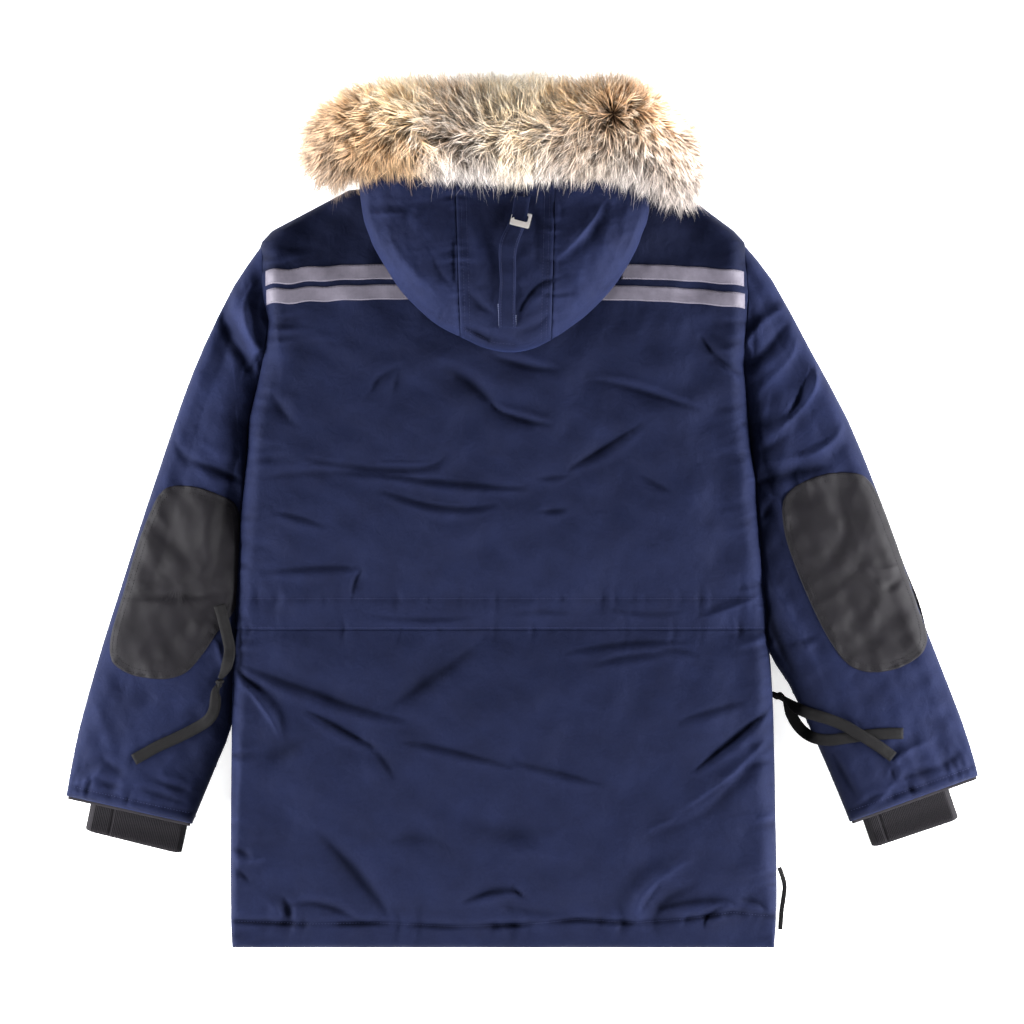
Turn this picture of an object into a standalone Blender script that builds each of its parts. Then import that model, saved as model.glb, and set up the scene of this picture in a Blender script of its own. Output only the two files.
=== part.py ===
"""A fur-trimmed down parka laid face down, back up, hood folded onto the upper back.

+X is the wearer's right, +Y runs from the hem to the hood, +Z is up from the surface
it lies on. Every panel is a closed padded solid: its outline comes from the short
tables below, its upper skin from a height function of x and y. All sizes are in
millimetres and become metres when a mesh is made.
"""

import bmesh
import bpy
import numpy as np
from mathutils.bvhtree import BVHTree

MM = 0.001
GAP = 0.3             # between pieces that are sewn together or lie on each other
MID = 24.0            # height of the plane where the front of the garment meets its back
EDGE = 1.5            # thickness of a panel where it runs out at an outline
MIN_WALL = 0.4        # the least thickness anywhere
SKIN = 13.0           # one layer of down-filled cloth in the hood
NECK_Y = 353.7        # neck seam of the back
WAIST_Y = -128.2      # seam under the waist channel
CHANNEL = 34.0        # width of the waist channel above that seam
HEM_Y = -479.0        # lower edge of the back
ZIP_X = -22.0         # front closure
ZIP_WIDTH = 34.0
TAPE_WIDTH = 16.5
TAPE_THICK = 1.0
PATCH_THICK = 1.4
WEBBING = 12.5
WEBBING_THICK = 1.4
RIB_PITCH = 5.4
RIB_RELIEF = 0.5
PULL_WIDTH, PULL_THICK = 5.0, 1.6
FACING_THICK = 1.6
STRAP_THICK = 2.0
SHARP = 0.9           # radians between faces, beyond which an edge stays crisp
BEDDING = 2.0         # how far a patch or tape reaches into its panel before it is cut back

# The back from hem to neck: height on the garment, left and right edges, crown.
BACK_SECTIONS = (
    # y, left, right, crown
    (-479.0, -317.0, 274.5, 31.0),
    (-454.0, -318.0, 276.0, 35.0),
    (-426.0, -318.0, 276.7, 49.0),
    (-388.0, -318.0, 276.7, 59.0),
    (-316.0, -317.4, 275.0, 66.0),
    (-262.0, -316.8, 273.9, 69.0),
    (-220.0, -316.3, 272.8, 69.0),
    (-168.0, -315.7, 270.0, 67.0),
    (-128.2, -314.0, 266.2, 62.0),
    (-103.0, -313.0, 265.1, 65.0),
    (-79.0, -310.8, 263.5, 66.0),
    (-36.0, -309.0, 259.0, 73.0),
    (3.0, -306.4, 255.2, 76.0),
    (36.0, -303.0, 253.6, 76.0),
    (72.0, -299.0, 247.5, 75.0),
    (105.0, -297.6, 244.8, 73.0),
    (138.0, -289.3, 243.0, 71.0),
    (163.0, -284.4, 240.4, 70.0),
    (187.0, -281.0, 243.7, 69.0),
    (210.0, -277.8, 245.3, 68.0),
    (232.0, -282.7, 247.0, 67.0),
    (272.0, -284.4, 244.2, 66.0),
    (296.5, -284.4, 241.5, 65.0),
    (309.7, -272.3, 229.4, 65.0),
    (331.7, -230.5, 199.7, 64.0),
    (353.7, -188.7, 173.3, 64.0),
)
ARMHOLE_FOOT, ARMHOLE_HEAD = 72.0, 296.5
LIFT_FOOT, LIFT_HEAD = 40.0, 300.0   # between these the armhole seam lifts the panels' edges

# Height of the armhole seam above the floor, from the underarm to the shoulder.
ARMHOLE_SEAM = (
    # y, height
    (40.0, 25.5),
    (72.0, 31.0),
    (120.0, 34.0),
    (187.0, 37.0),
    (232.0, 45.0),
    (272.0, 44.0),
    (296.5, 25.5),
)

# Each sleeve from the armhole to its hem: outer edge, inner edge, crown. An inner x of
# None lies against the side of the back.
LEFT_SLEEVE = (
    # outer x, outer y, inner x, inner y, crown
    (-284.9, 296.5, None, 72.0, 50.0),
    (-317.4, 249.0, None, 51.0, 54.0),
    (-349.3, 184.3, None, 16.0, 57.0),
    (-372.4, 127.0, None, -14.0, 58.0),
    (-395.5, 58.9, None, -55.6, 57.0),
    (-419.7, -13.8, None, -102.9, 56.0),
    (-441.7, -83.0, None, -149.0, 54.0),
    (-460.4, -141.4, None, -195.0, 52.0),
    (-475.8, -194.2, None, -233.0, 50.0),
    (-487.9, -239.3, -335.0, -273.4, 47.0),
    (-495.6, -275.6, -348.2, -305.3, 43.0),
    (-502.2, -311.9, -363.6, -342.7, 36.0),
)
RIGHT_SLEEVE = (
    # outer x, outer y, inner x, inner y, crown
    (241.8, 296.5, None, 72.0, 50.0),
    (274.5, 255.8, None, 51.0, 54.0),
    (315.2, 181.0, None, 16.0, 57.0),
    (357.0, 102.9, None, -14.0, 58.0),
    (386.7, 31.4, None, -55.6, 57.0),
    (412.0, -35.8, None, -103.0, 56.0),
    (434.0, -101.8, None, -149.0, 54.0),
    (456.0, -159.0, 293.0, -188.7, 52.0),
    (483.5, -229.4, 322.9, -251.4, 48.0),
    (497.8, -274.5, 347.0, -307.5, 42.0),
    (501.6, -289.9, 360.3, -340.5, 36.0),
)

# The main soft folds: start, middle, end, half width, rise (a trough is negative).
BACK_FOLDS = (
    # x0, y0, x1, y1, x2, y2, half width, rise
    (272.0, -207.0, 215.0, -262.0, 146.0, -332.0, 13.0, -9.0),
    (268.0, -248.0, 200.0, -300.0, 120.0, -350.0, 15.0, 6.0),
    (-310.0, -168.0, -277.0, -206.0, -262.0, -240.0, 12.0, 6.0),
    (-310.0, -163.0, -223.0, -192.0, -140.0, -220.0, 14.0, -6.0),
    (-243.0, -214.0, -185.0, -245.0, -150.0, -280.0, 12.0, -5.0),
    (-223.0, -355.0, -170.0, -400.0, -146.0, -432.0, 13.0, -5.0),
    (-70.0, 162.0, -25.0, 122.0, 30.0, 97.0, 13.0, -5.0),
    (123.0, 94.0, 75.0, 62.0, 14.0, 38.0, 14.0, -4.0),
    (-266.0, 41.0, -168.0, 41.0, -70.0, 77.0, 15.0, -4.0),
    (-150.0, 30.0, -60.0, 26.0, 0.0, 28.0, 12.0, -3.0),
    (74.0, 144.0, 130.0, 134.0, 178.0, 113.0, 12.0, -4.0),
    (-25.0, -135.0, -102.0, -185.0, -124.0, -207.0, 22.0, -4.0),
)
LEFT_SLEEVE_FOLDS = (
    # x0, y0, x1, y1, x2, y2, half width, rise
    (-300.0, 235.0, -309.0, 200.0, -292.0, 158.0, 11.0, 7.0),
    (-330.0, 190.0, -318.0, 165.0, -296.0, 138.0, 12.0, -8.0),
    (-338.0, 56.0, -325.0, 44.0, -306.0, 33.0, 10.0, -8.0),
    (-404.0, -88.0, -360.0, -90.0, -316.0, -84.0, 10.0, -6.0),
    (-435.0, -302.0, -395.0, -280.0, -362.0, -262.0, 12.0, -5.0),
)
RIGHT_SLEEVE_FOLDS = (
    # x0, y0, x1, y1, x2, y2, half width, rise
    (261.0, 222.0, 252.0, 190.0, 243.0, 160.0, 11.0, 7.0),
    (313.0, 173.0, 308.0, 120.0, 252.0, 71.0, 11.0, 9.0),
    (342.0, 88.0, 305.0, 55.0, 256.0, 38.0, 11.0, 9.0),
    (262.0, 30.0, 302.0, 39.0, 333.0, 50.0, 10.0, -8.0),
    (300.0, 150.0, 280.0, 118.0, 252.0, 112.0, 16.0, -8.0),
    (415.0, -292.0, 405.0, -305.0, 385.0, -318.0, 12.0, -4.0),
)

# The hood from under the fur to its crown fold: edges and height of the skin.
HOOD_SECTIONS = (
    # y, left, right, height
    (387.0, -180.0, 136.0, 91.0),
    (368.0, -180.0, 136.0, 91.0),
    (350.0, -178.0, 135.0, 91.0),
    (334.0, -176.0, 139.0, 93.0),
    (318.0, -173.0, 136.0, 101.0),
    (304.0, -168.0, 130.5, 107.0),
    (289.0, -162.0, 125.0, 111.0),
    (265.0, -148.0, 112.0, 114.0),
    (241.0, -132.0, 95.0, 114.0),
    (217.0, -108.0, 71.0, 111.0),
    (205.0, -92.0, 58.0, 109.0),
    (192.0, -74.0, 45.0, 106.0),
    (185.0, -62.0, 31.0, 104.0),
    (179.0, -45.0, 12.0, 102.0),
    (174.5, -24.0, -6.0, 100.0),
)
HOOD_SEAMS = (
    # y, left seam, right seam
    (387.0, -74.0, 36.0),
    (340.0, -74.0, 35.5),
    (289.0, -72.0, 34.0),
    (225.0, -70.0, 32.5),
    (174.0, -66.0, 30.0),
)

# The fur trim folded flat: its upper run over the hood and its lower run beneath.
FUR_UPPER = (
    # x, far edge y, near edge y, top, underside where it lies on the hood
    (-238.0, 413.0, 388.0, 84.0, 60.0),
    (-234.0, 428.0, 366.0, 104.0, 44.0),
    (-224.0, 443.0, 346.0, 118.0, 38.0),
    (-208.0, 454.0, 341.0, 129.0, 38.0),
    (-190.0, 464.0, 349.0, 137.0, 80.0),
    (-172.0, 470.0, 356.0, 142.0, 91.6),
    (-150.0, 472.0, 360.0, 145.0, 91.6),
    (-115.0, 470.0, 351.0, 147.0, 91.6),
    (-80.0, 472.0, 350.0, 149.0, 91.6),
    (-40.0, 469.0, 349.0, 150.0, 91.6),
    (0.0, 470.0, 345.0, 150.0, 91.6),
    (45.0, 472.0, 349.0, 149.0, 91.6),
    (85.0, 474.0, 353.0, 148.0, 91.6),
    (120.0, 474.0, 350.0, 146.0, 91.6),
    (147.0, 468.0, 336.0, 142.0, 91.6),
    (167.0, 452.0, 329.0, 134.0, 66.0),
    (184.0, 434.0, 326.0, 122.0, 60.0),
    (193.0, 418.0, 334.0, 106.0, 60.0),
    (197.0, 396.0, 360.0, 84.0, 60.0),
)
FUR_LOWER = (
    # x, far edge y, near edge y, top, underside
    (-228.0, 424.0, 404.0, 36.0, 14.0),
    (-220.0, 440.0, 400.0, 46.0, 4.0),
    (-200.0, 450.0, 399.0, 53.0, 0.0),
    (-160.0, 458.0, 399.0, 55.7, 0.0),
    (-20.0, 460.0, 399.0, 55.7, 0.0),
    (120.0, 460.0, 399.0, 55.7, 0.0),
    (164.0, 446.0, 399.0, 53.0, 0.0),
    (182.0, 432.0, 400.0, 46.0, 4.0),
    (188.0, 420.0, 404.0, 36.0, 14.0),
)
FUR_STEP_Y = 399.0    # beyond this the upper run of the fur lies on the lower one
FUR_STEP = 11.0
FUR_SPLIT = 56.0      # height of the underside of the upper run there
FUR_RING = 18         # points round the trim
FUR_SQUARE = 0.75     # power that fills out the trim's section from an ellipse
COLLAR = (-150.0, 108.0, 34.0)  # left end, right end, width over which each end rounds
COLLAR_TOP = 55.4

# Elbow patches, clockwise from the top.
LEFT_PATCH = (
    # x, y
    (-384.0, 29.0), (-358.0, 28.0), (-331.0, 19.0), (-314.0, 8.0), (-308.5, -18.0),
    (-309.5, -60.0), (-314.0, -103.0), (-334.0, -131.0), (-350.0, -155.0), (-367.0, -174.0),
    (-385.0, -181.5), (-405.0, -182.0), (-428.0, -178.0), (-446.0, -168.0), (-452.0, -157.0),
    (-452.0, -138.0), (-446.0, -114.0), (-437.0, -85.0), (-428.0, -53.0), (-418.0, -23.0),
    (-405.0, 8.0), (-396.0, 22.0),
)
RIGHT_PATCH = (
    # x, y
    (308.0, 34.0), (336.0, 43.0), (365.0, 43.0), (379.0, 36.0), (390.0, 20.0),
    (404.0, -14.0), (422.0, -62.0), (436.0, -97.0), (444.0, -128.0), (443.0, -145.0),
    (433.0, -159.0), (410.0, -171.0), (382.0, -175.0), (359.0, -168.0), (341.0, -148.0),
    (322.0, -114.0), (302.0, -68.0), (288.0, -28.0), (284.0, 4.0), (290.0, 21.0),
)

# Reflective tapes: x span, y of the upper edge at the hood and at the armhole.
TAPES = (
    # name, x at hood, x at armhole, y at hood, y at armhole
    ("tape_left_upper", -140.0, -281.5, 271.5, 264.5),
    ("tape_left_lower", -120.0, -280.5, 249.5, 243.5),
    ("tape_right_upper", 108.0, 242.5, 271.5, 264.0),
    ("tape_right_lower", 83.0, 243.5, 248.5, 239.5),
)

# Webbing ties: points along each tail, with the height of the tail over its sleeve.
TIES = (
    # name, points of x, y, lift
    ("tie_left_upper", ((-326.0, -177.0, 3.0), (-324.0, -168.0, 3.0), (-321.0, -153.0, 3.0),
                        (-325.0, -134.0, 3.8), (-329.0, -115.0, 4.2), (-333.0, -101.0, 4.2))),
    ("tie_left_lower", ((-334.0, -196.5, 1.6), (-336.5, -204.0, 1.6), (-337.5, -216.0, 2.4),
                        (-343.0, -228.0, 2.8), (-354.0, -235.0, 2.0), (-377.0, -246.0, 1.6),
                        (-399.0, -255.0, 1.6), (-426.0, -270.0, 1.6))),
    ("tie_right_lower", ((294.5, -214.0, 1.0), (299.0, -228.0, 1.0), (307.0, -239.0, 1.6),
                         (319.0, -247.0, 1.6), (335.0, -249.5, 1.6), (351.0, -247.5, 1.6),
                         (368.0, -245.0, 1.6), (385.0, -243.0, 1.6), (402.0, -243.0, 1.6),
                         (417.0, -244.0, 1.6))),
    ("tie_right_upper", ((296.0, -209.5, 3.0), (308.0, -219.0, 3.5), (321.0, -224.0, 3.5),
                         (336.0, -228.5, 3.6), (352.0, -235.0, 3.8), (366.0, -241.0, 3.8),
                         (379.0, -249.0, 3.8), (393.0, -258.0, 3.4), (407.0, -268.0, 1.8))),
)
KNOTS = (
    # name, x, y, z, half length, half width, half height, turn in degrees
    ("tie_knot_left", -329.5, -187.0, 47.5, 7.5, 5.0, 4.0, 60.0),
    ("tie_knot_right", 281.9, -203.0, 25.0, 10.2, 6.0, 4.5, -25.0),
)
HEM_PULL = (
    # x, y, z
    (282.6, -391.0, 22.2), (286.0, -399.0, 14.0), (289.5, -412.0, 5.0),
    (288.5, -426.0, 2.0), (286.5, -440.0, 2.0), (285.5, -452.0, 2.0), (285.0, -461.0, 2.0),
)
STRAP_LINE = (
    # x, y, width
    (-2.0, 343.0, 18.0), (-3.0, 332.0, 18.0), (-5.0, 316.0, 18.0), (-12.0, 300.0, 20.0),
    (-16.0, 280.0, 19.5), (-16.5, 252.0, 19.0), (-17.0, 226.0, 19.0), (-17.0, 199.0, 19.0),
)
SLIDER = (-3.0, 321.0, 21.0, 19.0, 2.6, -10.0)  # x, y, length, width, thickness, turn
SLIDER_LIFT = 3.45    # underside of the slider above the hood, over the strap
SLIDER_RIM = 3.0      # width of the slider's frame
SLIDER_CORNER = 1.25  # how far its corners reach, as a share of half a side
FOLD_ENDS = 0.12      # how far into its swell a fold starts and ends


def material(name, colour, roughness, metallic=0.0):
    made = bpy.data.materials.new(name)
    made.use_nodes = True
    shader = made.node_tree.nodes["Principled BSDF"]
    shader.inputs["Base Color"].default_value = (*colour, 1.0)
    shader.inputs["Roughness"].default_value = roughness
    shader.inputs["Metallic"].default_value = metallic
    made.diffuse_color = (*colour, 1.0)
    return made


def add_solid(name, points, faces, finish):
    """A closed mesh from points in millimetres."""
    mesh = bpy.data.meshes.new(name)
    mesh.from_pydata((np.asarray(points, float) * MM).tolist(), [], faces)
    mesh.materials.append(finish)
    work = bmesh.new()
    work.from_mesh(mesh)
    bmesh.ops.recalc_face_normals(work, faces=work.faces)
    bmesh.ops.triangulate(work, faces=work.faces)
    work.to_mesh(mesh)
    work.free()
    mesh.shade_smooth()
    mesh.set_sharp_from_angle(angle=SHARP)
    made = bpy.data.objects.new(name, mesh)
    bpy.context.scene.collection.objects.link(made)
    return made


def quilt(name, x, y, top, bottom, finish):
    """A padded panel over a grid of rows and columns, walled at its outline."""
    rows, columns = x.shape
    count = rows * columns
    points = np.concatenate([
        np.stack([x, y, np.maximum(top, bottom + MIN_WALL)], axis=-1).reshape(-1, 3),
        np.stack([x, y, bottom], axis=-1).reshape(-1, 3),
    ])
    faces = []
    for i in range(rows - 1):
        for j in range(columns - 1):
            a, b = i * columns + j, i * columns + j + 1
            c, d = b + columns, a + columns
            faces += [(a, b, c, d), (d + count, c + count, b + count, a + count)]
    around = list(range(columns))
    around += [i * columns + columns - 1 for i in range(1, rows)]
    around += [(rows - 1) * columns + j for j in range(columns - 2, -1, -1)]
    around += [i * columns for i in range(rows - 2, 0, -1)]
    for k, a in enumerate(around):
        b = around[(k + 1) % len(around)]
        faces.append((b, a, a + count, b + count))
    return add_solid(name, points, faces, finish)


def tube(name, rings, finish):
    """A closed solid through rings of points, capped at both ends."""
    rings = np.asarray(rings, float)
    rows, size = rings.shape[:2]
    faces = [tuple(range(size)), tuple(range(rows * size - 1, (rows - 1) * size - 1, -1))]
    for i in range(rows - 1):
        for j in range(size):
            a, b = i * size + j, i * size + (j + 1) % size
            faces.append((a, a + size, b + size, b))
    return add_solid(name, rings.reshape(-1, 3), faces, finish)


def smooth_rows(table, steps):
    """A table's rows with steps - 1 more between each two, on a Catmull-Rom curve."""
    rows = np.asarray(table, float)
    padded = np.vstack([2 * rows[0] - rows[1], rows, 2 * rows[-1] - rows[-2]])
    made = []
    for k in range(1, len(padded) - 2):
        before, start, end, after = padded[k - 1:k + 3]
        for t in np.arange(steps) / steps:
            made.append(0.5 * (2 * start + (end - before) * t
                               + (2 * before - 5 * start + 4 * end - after) * t ** 2
                               + (3 * start - before - 3 * end + after) * t ** 3))
    made.append(rows[-1])
    return np.array(made)


def column(table, at, index):
    """A table's column, read smoothly at heights given in its first column."""
    fine = smooth_rows(table, 6)
    order = np.argsort(fine[:, 0])
    return np.interp(at, fine[order, 0], fine[order, index])


def distance(x, y, line):
    """How far each point is from a line of points."""
    nearest = np.full(np.shape(x), 1e9)
    for (ax, ay), (bx, by) in zip(line[:-1], line[1:]):
        dx, dy = bx - ax, by - ay
        t = np.clip(((x - ax) * dx + (y - ay) * dy) / (dx * dx + dy * dy), 0.0, 1.0)
        nearest = np.minimum(nearest, np.hypot(x - ax - t * dx, y - ay - t * dy))
    return nearest


def crown(t, power=2.2):
    """How far padding has risen at a fraction t of its rounded edge."""
    return np.sqrt(1.0 - (1.0 - np.clip(t, 0.0, 1.0)) ** power)


def soft_step(t):
    t = np.clip(t, 0.0, 1.0)
    return t * t * (3.0 - 2.0 * t)


def folds(x, y, table):
    """Ridges and troughs that swell in the middle and die out at both ends."""
    total = np.zeros(np.shape(x))
    for x0, y0, x1, y1, x2, y2, width, rise in table:
        best = np.full(np.shape(x), 1e9)
        along = np.zeros(np.shape(x))
        spine = smooth_rows(((x0, y0), (x1, y1), (x2, y2)), 5)
        for k, ((ax, ay), (bx, by)) in enumerate(zip(spine[:-1], spine[1:])):
            dx, dy = bx - ax, by - ay
            t = np.clip(((x - ax) * dx + (y - ay) * dy) / (dx * dx + dy * dy), 0.0, 1.0)
            away = np.hypot(x - ax - t * dx, y - ay - t * dy)
            along = np.where(away < best, (k + t) / (len(spine) - 1), along)
            best = np.minimum(best, away)
        swell = np.sin(np.pi * (FOLD_ENDS + (1.0 - 2.0 * FOLD_ENDS) * along))
        total += rise * np.exp(-(best / width) ** 2) * swell
    return total


# ---- the back -----------------------------------------------------------------------

BACK_FINE = smooth_rows(BACK_SECTIONS, 3)
LEFT_LINE = BACK_FINE[:, (1, 0)]
RIGHT_LINE = BACK_FINE[:, (2, 0)]
BACK_ROUND = 60.0     # width over which the back rounds off to its sides
BACK_STEPS = (0.0, 3.0, 8.0, 15.0, 25.0, 38.0, 54.0)   # columns beside each side edge
BACK_FLAT, BACK_COLUMNS = 72.0, 13   # from a side edge to the even columns, and their number
ROW_STEP = 34.0       # a longer step between two rows is halved
SEAM_ROW = 9.0        # from the waist seam to the rows beside it
CHANNEL_ROW = 8.0     # from the channel's stitches to the row above them
WAIST_DIP, STITCH_DIP, DIP_REACH = 5.0, 3.0, 6.0       # furrows at the seam and the stitches


def back_rows():
    """Heights of the rows of the back's grid: the sections, and halfway where they are far."""
    listed = [row[0] for row in BACK_SECTIONS]
    rows = []
    for low, high in zip(listed[:-1], listed[1:]):
        rows.append(low)
        if high - low > ROW_STEP:
            rows.append((low + high) / 2.0)
    return rows + [listed[-1]]


def back_edge(side, y):
    return column(BACK_SECTIONS, y, 1 if side < 0 else 2)


def seam_height(y):
    """Height of the back's side edge, which the armhole seam lifts."""
    inside = (np.asarray(y) > LIFT_FOOT) & (np.asarray(y) < LIFT_HEAD)
    return np.where(inside, column(ARMHOLE_SEAM, y, 1), MID + EDGE)


def back_top(x, y):
    away = np.minimum(distance(x, y, LEFT_LINE), distance(x, y, RIGHT_LINE))
    rise = crown(away / BACK_ROUND)
    base = seam_height(y)
    height = column(BACK_SECTIONS, y, 3)
    seam = -WAIST_DIP * np.exp(-((y - WAIST_Y) / DIP_REACH) ** 2)
    stitch = -STITCH_DIP * np.exp(-((y - WAIST_Y - CHANNEL) / DIP_REACH) ** 2)
    return base + (height - base + seam + stitch + folds(x, y, BACK_FOLDS)) * rise


def surface_height(piece, x, y):
    """Height of a panel's own faceted skin at each point."""
    tree = BVHTree.FromPolygons([v.co for v in piece.data.vertices],
                                [p.vertices for p in piece.data.polygons])
    heights = np.zeros(np.shape(x))
    for place in np.ndindex(heights.shape):
        hit = tree.ray_cast((x[place] * MM, y[place] * MM, 1.0), (0.0, 0.0, -1.0))[0]
        heights[place] = hit.z / MM if hit else MID + EDGE
    return heights


def keep_clear(piece, *neighbours, toward=(0.0, 0.0)):
    """Cut a piece back to a small gap over and beyond each neighbour that it lies on."""
    for neighbour in neighbours:
        cutter = neighbour.copy()
        cutter.name = piece.name + "_over_" + neighbour.name
        cutter.location = (GAP * MM * toward[0], GAP * MM * toward[1], GAP * MM)
        cutter.display_type = "WIRE"
        cutter.hide_render = True
        bpy.context.scene.collection.objects.link(cutter)
        cut = piece.modifiers.new("over_" + neighbour.name, "BOOLEAN")
        cut.operation = "DIFFERENCE"
        cut.solver = "EXACT"
        cut.object = cutter


def edged_columns(left, right):
    """Positions across a row, closer together where the padding rounds off."""
    steps = np.array(BACK_STEPS)
    inner = np.linspace(left + BACK_FLAT, right - BACK_FLAT, BACK_COLUMNS)
    return np.concatenate([left + steps, inner, right - steps[::-1]])


def back_panel(name, rows, finish):
    x = np.array([edged_columns(back_edge(-1, y), back_edge(1, y)) for y in rows])
    y = np.repeat(np.array(rows)[:, None], x.shape[1], axis=1)
    return quilt(name, x, y, back_top(x, y), np.full(x.shape, MID + GAP / 2), finish)


def build_back(shell):
    """Two panels that meet at the seam under the waist channel."""
    lower = [y for y in back_rows() if y < WAIST_Y - SEAM_ROW]
    back_panel("back_lower", lower + [WAIST_Y - SEAM_ROW, WAIST_Y - GAP / 2], shell)
    stitches = WAIST_Y + CHANNEL
    upper = [y for y in back_rows() if y > WAIST_Y + 1.5 * SEAM_ROW] + [stitches, stitches + CHANNEL_ROW]
    return back_panel("back_upper", [WAIST_Y + GAP / 2, WAIST_Y + SEAM_ROW] + sorted(upper), shell)


# ---- the fronts, which lie beneath ------------------------------------------------------

FRONT_ROUND = 30.0
FRONT_STEPS = (0.0, 3.0, 9.0, 18.0, 32.0)   # columns beside a front's outer edge
FRONT_PEEK = 4.5      # the fronts stand out past the side seams near the hem
PEEK_Y, PEEK_RUN = -200.0, 60.0             # where they start to, and over what length


def front_edge(side, y):
    return back_edge(side, y) + side * FRONT_PEEK * soft_step((PEEK_Y - y) / PEEK_RUN)


def front_bottom(x, y):
    left = smooth_line(lambda at: front_edge(-1, at))
    right = smooth_line(lambda at: front_edge(1, at))
    away = np.minimum(distance(x, y, left), distance(x, y, right))
    return (MID - GAP / 2 - EDGE) * (1.0 - crown(away / FRONT_ROUND))


def smooth_line(edge):
    heights = BACK_FINE[:, 0]
    return np.stack([edge(heights), heights], axis=1)


def build_fronts(shell, tape):
    rows = [row[0] for row in BACK_SECTIONS]
    rows[-1] = NECK_Y - GAP
    steps = np.array(FRONT_STEPS)
    for side, name in ((-1, "front_left"), (1, "front_right")):
        x = []
        for at in rows:
            outer = front_edge(side, at)
            inner = ZIP_X + side * (ZIP_WIDTH / 2 + GAP)
            x.append(np.append(outer - side * steps, inner)[::-side])
        x = np.array(x)
        y = np.repeat(np.array(rows)[:, None], x.shape[1], axis=1)
        quilt(name, x, y, np.full(x.shape, MID - GAP / 2), front_bottom(x, y), shell)
    x = np.array([[ZIP_X - ZIP_WIDTH / 2, ZIP_X + ZIP_WIDTH / 2]] * 2)
    y = np.array([[HEM_Y, HEM_Y], [NECK_Y - GAP, NECK_Y - GAP]])
    quilt("front_zip", x, y, np.full(x.shape, MID - GAP / 2), np.zeros(x.shape), tape)


# ---- sleeves ------------------------------------------------------------------------------

SLEEVE_ROUND_OUT, SLEEVE_ROUND_IN, SLEEVE_UNDER = 58.0, 46.0, 22.0
HEM_OPENING = 16.0    # depth of the sleeve's open end, round the knitted cuff
HEM_SLOPE = 50.0      # where the two halves of the sleeve have closed again
UNDER_HEM = 9.6       # thickness of the sleeve's under half at its hem
SLEEVE_CLEAR = 0.8    # least space between a sleeve and the front beside it
BULGE_ROWS = 2.0      # rows over which the armhole's curve fades into the sleeve
SEAM_SPREAD = 26.0    # how far into the sleeve the armhole seam lifts it
SHOULDER_ROUND = 20.0

# Each knitted cuff: its start and end as shares of the sleeve's hem, and its lean inward.
CUFFS = {-1: (0.04, 0.81, 0.06), 1: (0.1, 0.77, -0.02)}
CUFF_DEPTHS = (-HEM_OPENING - 14.0, -HEM_OPENING, -4.0, 8.0, 18.0, 27.0, 30.0)  # out of the hem
CUFF_OUT, CUFF_OUT_RUN = 4.0, 26.0    # it sinks to the floor from this far inside, over this run
CUFF_IN_RUN, CUFF_IN_LIFT = 34.0, 14.0
CUFF_UNDER_TOP, CUFF_SINK = 3.0, 8.0  # below the garment's middle plane, inside and outside
CUFF_TIP, CUFF_TIP_DROP = 28.0, 3.0
CUFF_ROUND = 7.0
CUFF_SIDES = (0.25, 0.4)              # what is left of its upper and lower half at its sides
FACING_SPAN = (0.015, 0.985)
FACING_DEPTHS = (-9.0, 3.2)


def sleeve_frame(side):
    """Outer and inner edges of a sleeve at matching stations, and its crown."""
    table = LEFT_SLEEVE if side < 0 else RIGHT_SLEEVE
    rows = []
    for outer_x, outer_y, inner_x, inner_y, height in table:
        if inner_x is None:
            inner_x = float(front_edge(side, inner_y))
        rows.append((outer_x, outer_y, inner_x, inner_y, height))
    rows = smooth_rows(rows, 2)
    clear = side * front_edge(side, rows[:, 3]) + SLEEVE_CLEAR
    rows[:, 2] = side * np.maximum(side * rows[:, 2], clear)
    return rows


def armhole_rows():
    return [y for y in back_rows() if ARMHOLE_FOOT <= y <= ARMHOLE_HEAD]


def sleeve_grid(side):
    """Grid of a sleeve: one column for each row of the back along the armhole."""
    stations = sleeve_frame(side)
    seam_y = np.array(armhole_rows())
    seam_x = np.array([float(back_edge(side, y)) + side * GAP for y in seam_y])
    across = (seam_y - seam_y[0]) / (seam_y[-1] - seam_y[0])
    bulge_x = seam_x - (seam_x[0] + (seam_x[-1] - seam_x[0]) * across)
    x = stations[:, 2:3] + (stations[:, 0:1] - stations[:, 2:3]) * across
    y = stations[:, 3:4] + (stations[:, 1:2] - stations[:, 3:4]) * across
    fade = np.exp(-(np.arange(len(stations)) / BULGE_ROWS) ** 2)[:, None]
    x = x + bulge_x * fade
    x[0], y[0] = seam_x, seam_y
    return x, y


def sleeve_lines(side):
    x, y = sleeve_grid(side)
    outer = np.stack([x[:, -1], y[:, -1]], axis=1)
    inner = np.concatenate([np.stack([x[0, ::-1], y[0, ::-1]], axis=1),
                            np.stack([x[1:, 0], y[1:, 0]], axis=1)])
    hem = np.stack([x[-1], y[-1]], axis=1)
    return outer, inner, hem


def sleeve_crown(side, x, y):
    """Crown height at each point, read along the sleeve's length."""
    stations = sleeve_frame(side)
    middle = (stations[:, 0:2] + stations[:, 2:4]) / 2.0
    axis = middle[-1] - middle[0]
    axis = axis / np.hypot(*axis)
    run = (middle - middle[0]) @ axis
    order = np.argsort(run)
    place = (x - middle[0, 0]) * axis[0] + (y - middle[0, 1]) * axis[1]
    return np.interp(place, run[order], stations[order, 4])


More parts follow.
